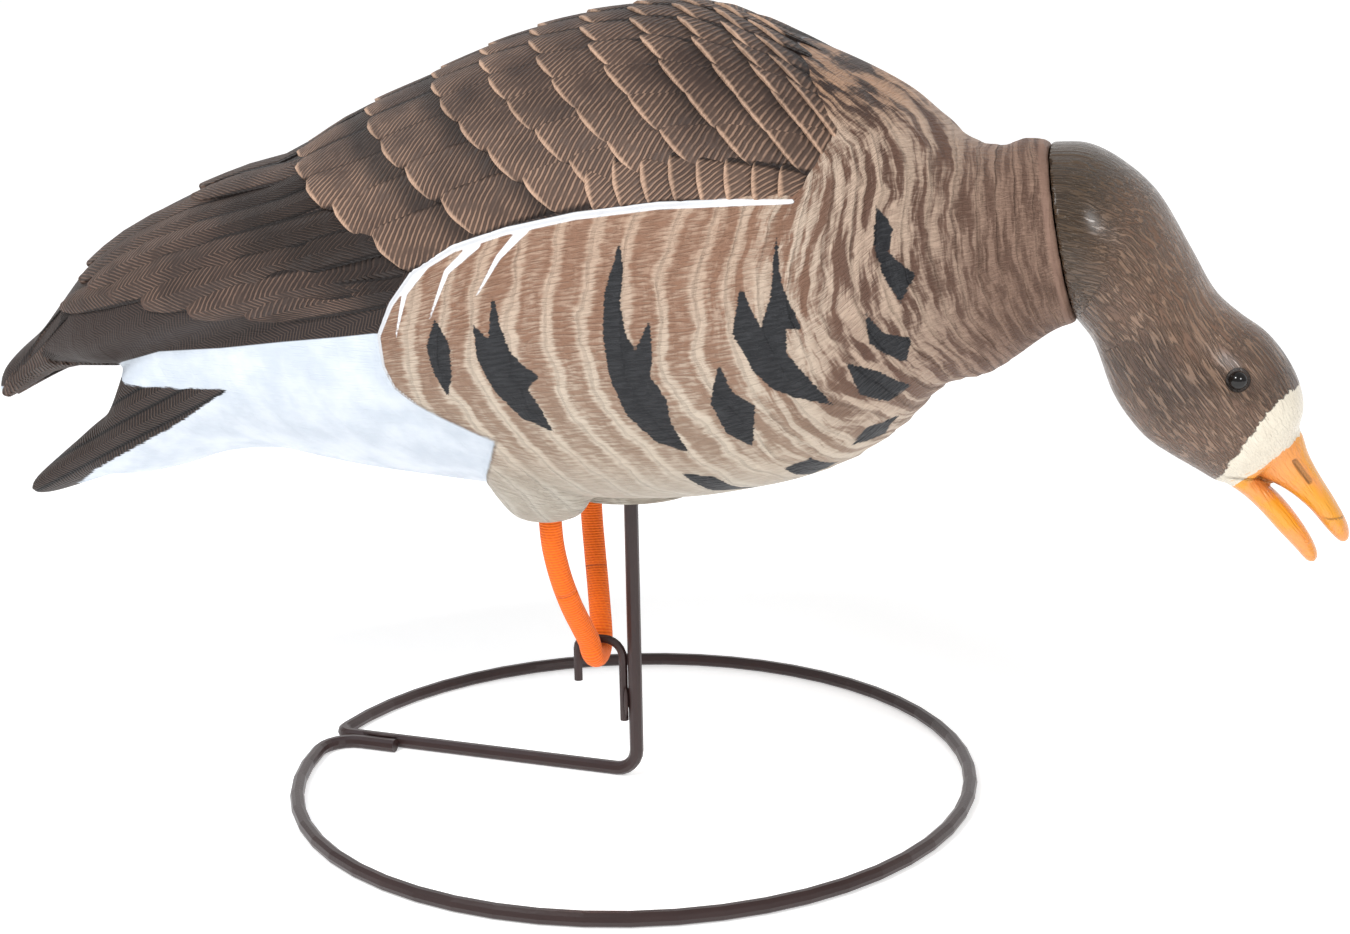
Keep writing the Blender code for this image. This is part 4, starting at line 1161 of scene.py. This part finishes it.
# %% Outlines of the head's marks, millimetres along and above the ground
FACE = [(281, 191), (289, 194), (297, 184), (290, 168), (270, 144), (250, 145), (257, 156), (262, 166),
        (268, 176), (273, 184), (277, 188)]
BILL_LINE = [(292, 177), (284, 171), (276, 164), (266, 157.5), (258, 152), (246, 146)]
MOUTH_CREASE = [(279, 152), (270, 155), (259, 156)]
NOSTRIL = [(285, 163), (291, 155)]
HEAD_MIDDLE = [(192, 251), (215, 245), (235, 225), (250, 200), (270, 175), (295, 140)]
EYE = (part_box("eye_right")[0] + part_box("eye_right")[1]) / 2


def paint_head(obj):
    at = places(obj)
    x, y, z = at.T
    face = outline_distance(x, z, FACE)
    gap, _ = line_distance(x, z, BILL_LINE)
    beyond = (x - 0.267) * 0.64 - (z - 0.156) * 0.77 > 0
    bill = np.where(beyond, -gap, gap)
    gap, along = line_distance(x, z, HEAD_MIDDLE)
    bend = np.interp(along, np.linspace(0, 1, len(HEAD_MIDDLE)), np.array(HEAD_MIDDLE)[:, 1] / 1000)
    eye = np.linalg.norm(at[:, [0, 2]] - np.array([EYE.x, EYE.z]), axis=1)
    store(obj, "fur", np.column_stack([along, np.where(z > bend, gap, -gap), eye]))
    crease, share = line_distance(x, z, MOUTH_CREASE)
    slit, _ = line_distance(x, z, NOSTRIL)
    lines = np.minimum(crease - 0.0007 * (1 - share), slit - 0.0008 + 0.01 * (np.abs(y) < 0.004))
    store(obj, "marks", np.column_stack([face, bill, lines]))


paint_head(head)


# %% Head material
def head_material():
    material, g, shader = new_material("painted_head")
    where = g.place()
    fur = g.parts(g.attribute("fur")["Vector"])
    marks = g.parts(g.attribute("marks")["Vector"])
    drift = g.noise(where, 30.0, 3.0)
    across = g.line(drift, 4.0, g.times(fur[1], 860.0))
    depth = g.times(g.parts(where)[1], 640.0)
    hair = g.noise(g.vector(across, g.times(fur[0], 11.0), depth), 1.0, 2.0, 0.5)
    hair_line = g.smooth(hair, 0.38, 0.62)
    cheek = g.smooth(g.noise(where, 22.0, 2.0), 0.40, 0.62)
    colour = g.mix(cheek, paint(68, 46, 32), paint(110, 82, 64))
    colour = g.mix(g.times(hair_line, 0.36), colour, paint(160, 132, 110))
    colour = g.mix(g.smooth(fur[0], 0.30, 0.02), colour, paint(74, 56, 38))
    lid = g.smooth(g.math("ABSOLUTE", g.math("SUBTRACT", fur[2], 0.0041)), 0.0008, 0.0003)
    colour = g.mix(g.times(lid, 0.85), colour, paint(30, 24, 22))
    ragged = g.line(g.noise(where, 460.0, 3.0), 0.0042, -0.0021)
    patch = g.smooth(g.math("ADD", marks[0], ragged), 0.0004, -0.0004)
    cream = g.mix(g.noise(where, 120.0), paint(214, 203, 184), paint(232, 224, 206))
    colour = g.mix(patch, colour, cream)
    tip = g.smooth(fur[0], 0.66, 0.84)
    olive = g.mix(g.noise(where, 90.0, 2.0), paint(168, 140, 82), paint(216, 160, 56))
    rosy = g.smooth(g.noise(where, 70.0, 2.0), 0.45, 0.62)
    bill_colour = g.mix(tip, olive, g.mix(rosy, paint(230, 154, 40), paint(234, 152, 76)))
    bill = g.smooth(g.line(ragged, 0.35, marks[1]), 0.0003, -0.0003)
    colour = g.mix(bill, colour, bill_colour)
    # Painted shade: the mouth crease and the nostril slit are darkened with a deeper bill tone.
    slits = g.smooth(marks[2], 0.0007, -0.0006)
    colour = g.mix(g.times(slits, 0.62), colour, paint(112, 78, 34))
    plain = g.math("MAXIMUM", patch, bill)
    relief_depth = g.times(hair_line, g.line(plain, -0.88, 1.0))
    relief_depth = g.line(lid, -0.6, relief_depth)
    relief_depth = g.line(slits, -0.8, relief_depth)
    gloss = g.line(hair_line, -0.08, 0.34)
    wire_up(g, shader, Base_Color=colour, Roughness=gloss, Normal=g.bump(relief_depth, 0.0020, 1.0))
    shader.inputs["Coat Weight"].default_value = 0.35
    shader.inputs["Coat Roughness"].default_value = 0.22
    return material


head.data.materials.append(head_material())
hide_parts("head_shell")
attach(head, "head")

# %% [markdown]
# ## Eyes
# Each eye is a black glass bead, half sunk in the head.

# %% Glass beads
def add_eye(node):
    low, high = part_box(node)
    centre, radius = (low + high) / 2, (high.x - low.x) / 2
    bm = bmesh.new()
    bmesh.ops.create_uvsphere(bm, u_segments=48, v_segments=32, radius=radius)
    bmesh.ops.translate(bm, verts=bm.verts, vec=centre)
    bead = add_mesh(node + "_bead", [], [])
    bm.to_mesh(bead.data)
    bm.free()
    bead.data.shade_smooth()
    bead.data.materials.append(eye_glass)
    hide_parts(node)
    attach(bead, "head")


eye_glass, eye_graph, eye_shader = new_material("eye_glass")
wire_up(eye_graph, eye_shader, Base_Color=paint(10, 7, 7), Roughness=0.05)
for node in ("eye_left", "eye_right"):
    add_eye(node)

# %% [markdown]
# ## Small plastic and steel pieces
# The cone is black nylon with a fine moulded grain. The cap and the washers are natural nylon, which is milky
# and slightly mottled. The screws are zinc-plated, and the knots wear the cord's own orange cover.

# %% Materials of the small pieces
def plain_material(name, light, dark, roughness, metal, grain):
    """A mottled finish with a fine grain, for a piece that has no pattern of its own."""
    material, g, shader = new_material(name)
    where = g.place()
    mottle = g.smooth(g.noise(where, 140.0, 3.0), 0.35, 0.65)
    grit = g.noise(where, 1400.0, 2.0)
    wire_up(g, shader, Base_Color=g.mix(mottle, light, dark), Metallic=metal, Normal=g.bump(grit, grain, 0.6),
            Roughness=g.line(mottle, 0.1, roughness))
    return material


# Start of the node's name, finish, light and dark tone, roughness, metal, depth of the grain.
SMALL_FINISHES = [
    ("motion_cone", "cone_nylon_grain", paint(50, 50, 52), paint(38, 38, 40), 0.45, 0.0, 0.00004),
    ("stake_tip_cap", "cap_nylon_grain", paint(206, 204, 194), paint(188, 185, 174), 0.42, 0.0, 0.00004),
    ("cord_washer", "washer_nylon_grain", paint(212, 211, 204), paint(198, 196, 188), 0.5, 0.0, 0.00005),
    ("cord_knot", "knot_cover", paint(246, 106, 10), paint(214, 78, 6), 0.8, 0.0, 0.0002),
    ("cone_screw", "zinc_plate", paint(206, 208, 210), paint(176, 178, 184), 0.26, 1.0, 0.00002),
]
for start, *finish in SMALL_FINISHES:
    small_finish = plain_material(*finish)
    for name, node in frame["nodes"].items():
        if name.startswith(start):
            node.data.materials.clear()
            node.data.materials.append(small_finish)

# %% [markdown]
# ## Stand
# The rod is cold-bent steel under a brown powder coat, which lies on like thick paint with a fine orange
# peel.

# %% Powder coat
def coat_material():
    material, g, shader = new_material("powder_coat")
    where = g.place()
    peel = g.noise(where, 900.0, 2.0)
    colour = g.mix(g.noise(where, 60.0, 2.0), paint(42, 26, 25), paint(54, 36, 34))
    wire_up(g, shader, Base_Color=colour, Roughness=0.34, Normal=g.bump(peel, 0.00012, 0.6))
    return material


powder_coat = coat_material()
for node in ("base_rod", "leg_hook", "ring_weld", "hook_weld_left", "hook_weld_right"):
    frame["nodes"][node].data.materials.clear()
    frame["nodes"][node].data.materials.append(powder_coat)


# %% [markdown]
# ## Leg cord
# The orange legs are one elastic cord with a woven cover. Its route repeats the frame's, and the tube carries
# its own length and turn, for the weave. It is split where it follows the turning cap alone.

# %% Cord route
CORD_RADIUS = 0.005
CORD_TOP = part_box("leg_cord")[1].z
CORD_ROUTE = [
    (0.0000, 0.0280, CORD_TOP),
    (0.0000, 0.0280, 0.1360),
    (0.0000, 0.0279, 0.1260),
    (0.0006, 0.0268, 0.1140),
    (0.0025, 0.0238, 0.1000),
    (0.0052, 0.0188, 0.0860),
    (0.0080, 0.0128, 0.0740),
    (0.0096, 0.0092, 0.0670),
    (0.0102, 0.0073, 0.0614),
    (0.0105, 0.0040, 0.0580),
    (0.0106, 0.0000, 0.0569),
]
left_half = [(CORD_X + x, y, z) for x, y, z in CORD_ROUTE]
cord_route = smooth_rows(left_half + [(x, -y, z) for x, y, z in left_half[-2::-1]], 6)


def route_length(route):
    return float(np.linalg.norm(np.diff(route, axis=0), axis=1).sum())


print("leg cord length", round(route_length(cord_route), 4))


def cord_tube(name, route, start, around=20):
    """A closed tube along a route, with its length and turn for the weave."""
    points, weave, side = [], [], Vector((1, 0, 0))
    run = start + np.concatenate([[0], np.cumsum(np.linalg.norm(np.diff(route, axis=0), axis=1))])
    for i, place in enumerate(route):
        way = Vector(route[min(i + 1, len(route) - 1)] - route[max(i - 1, 0)]).normalized()
        side = (side - way * side.dot(way)).normalized()
        other = way.cross(side)
        for k in range(around):
            a = math.tau * k / around
            points.append(Vector(place) + (side * math.cos(a) + other * math.sin(a)) * CORD_RADIUS)
            weave.append((run[i], math.cos(a), math.sin(a)))
    rings = np.array(points).reshape(len(route), around, 3)
    obj = add_mesh(name, *skin_over(rings))
    store(obj, "weave", weave)
    for face in obj.data.polygons:
        face.use_smooth = len(face.vertices) == 4
    return obj


def cord_material():
    material, g, shader = new_material("woven_cover")
    weave = g.attribute("weave")["Vector"]
    run, cosine, sine = g.parts(weave)
    turn = g.math("ARCTAN2", sine, cosine)
    lines = g.math("SINE", g.line(turn, 1.0, g.times(run, math.tau / 0.00125)))
    cross = g.math("SINE", g.line(turn, 14.0, g.times(run, 900.0)))
    height = g.line(cross, 0.25, lines)
    fuzz = g.noise(g.place(), 700.0, 3.0)
    height = g.line(fuzz, 0.8, height)
    # Partly painted shade: the colour darkens in the weave's grooves, and varies at random with the fuzz.
    colour = g.mix(g.smooth(height, -1.4, 1.0), paint(232, 88, 0), paint(255, 118, 0))
    wire_up(g, shader, Base_Color=colour, Roughness=0.8, Normal=g.bump(height, 0.00022, 0.8))
    shader.inputs["Sheen Weight"].default_value = 0.08
    return material


# %% Build the legs
CORD_SPLIT = 0.095
weave_paint = cord_material()
low = [i for i, p in enumerate(cord_route) if p[2] < CORD_SPLIT]
first, last = low[0], low[-1]
stretches = {
    "leg_cord_left": (0, first),
    "leg_cord_loop": (first, last),
    "leg_cord_right": (last, len(cord_route) - 1),
}
for name, (start, end) in stretches.items():
    piece = cord_tube(name, cord_route[start : end + 1], route_length(cord_route[: start + 1]))
    piece.data.materials.append(weave_paint)
    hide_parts("leg_cord")
    if name == "leg_cord_loop":
        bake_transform(piece)
    else:
        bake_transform(piece)

# %% Finish
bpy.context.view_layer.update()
bpy.data.objects.remove(core)
bpy.data.objects.remove(tile_leaf)
bpy.data.objects.remove(quill_leaf)
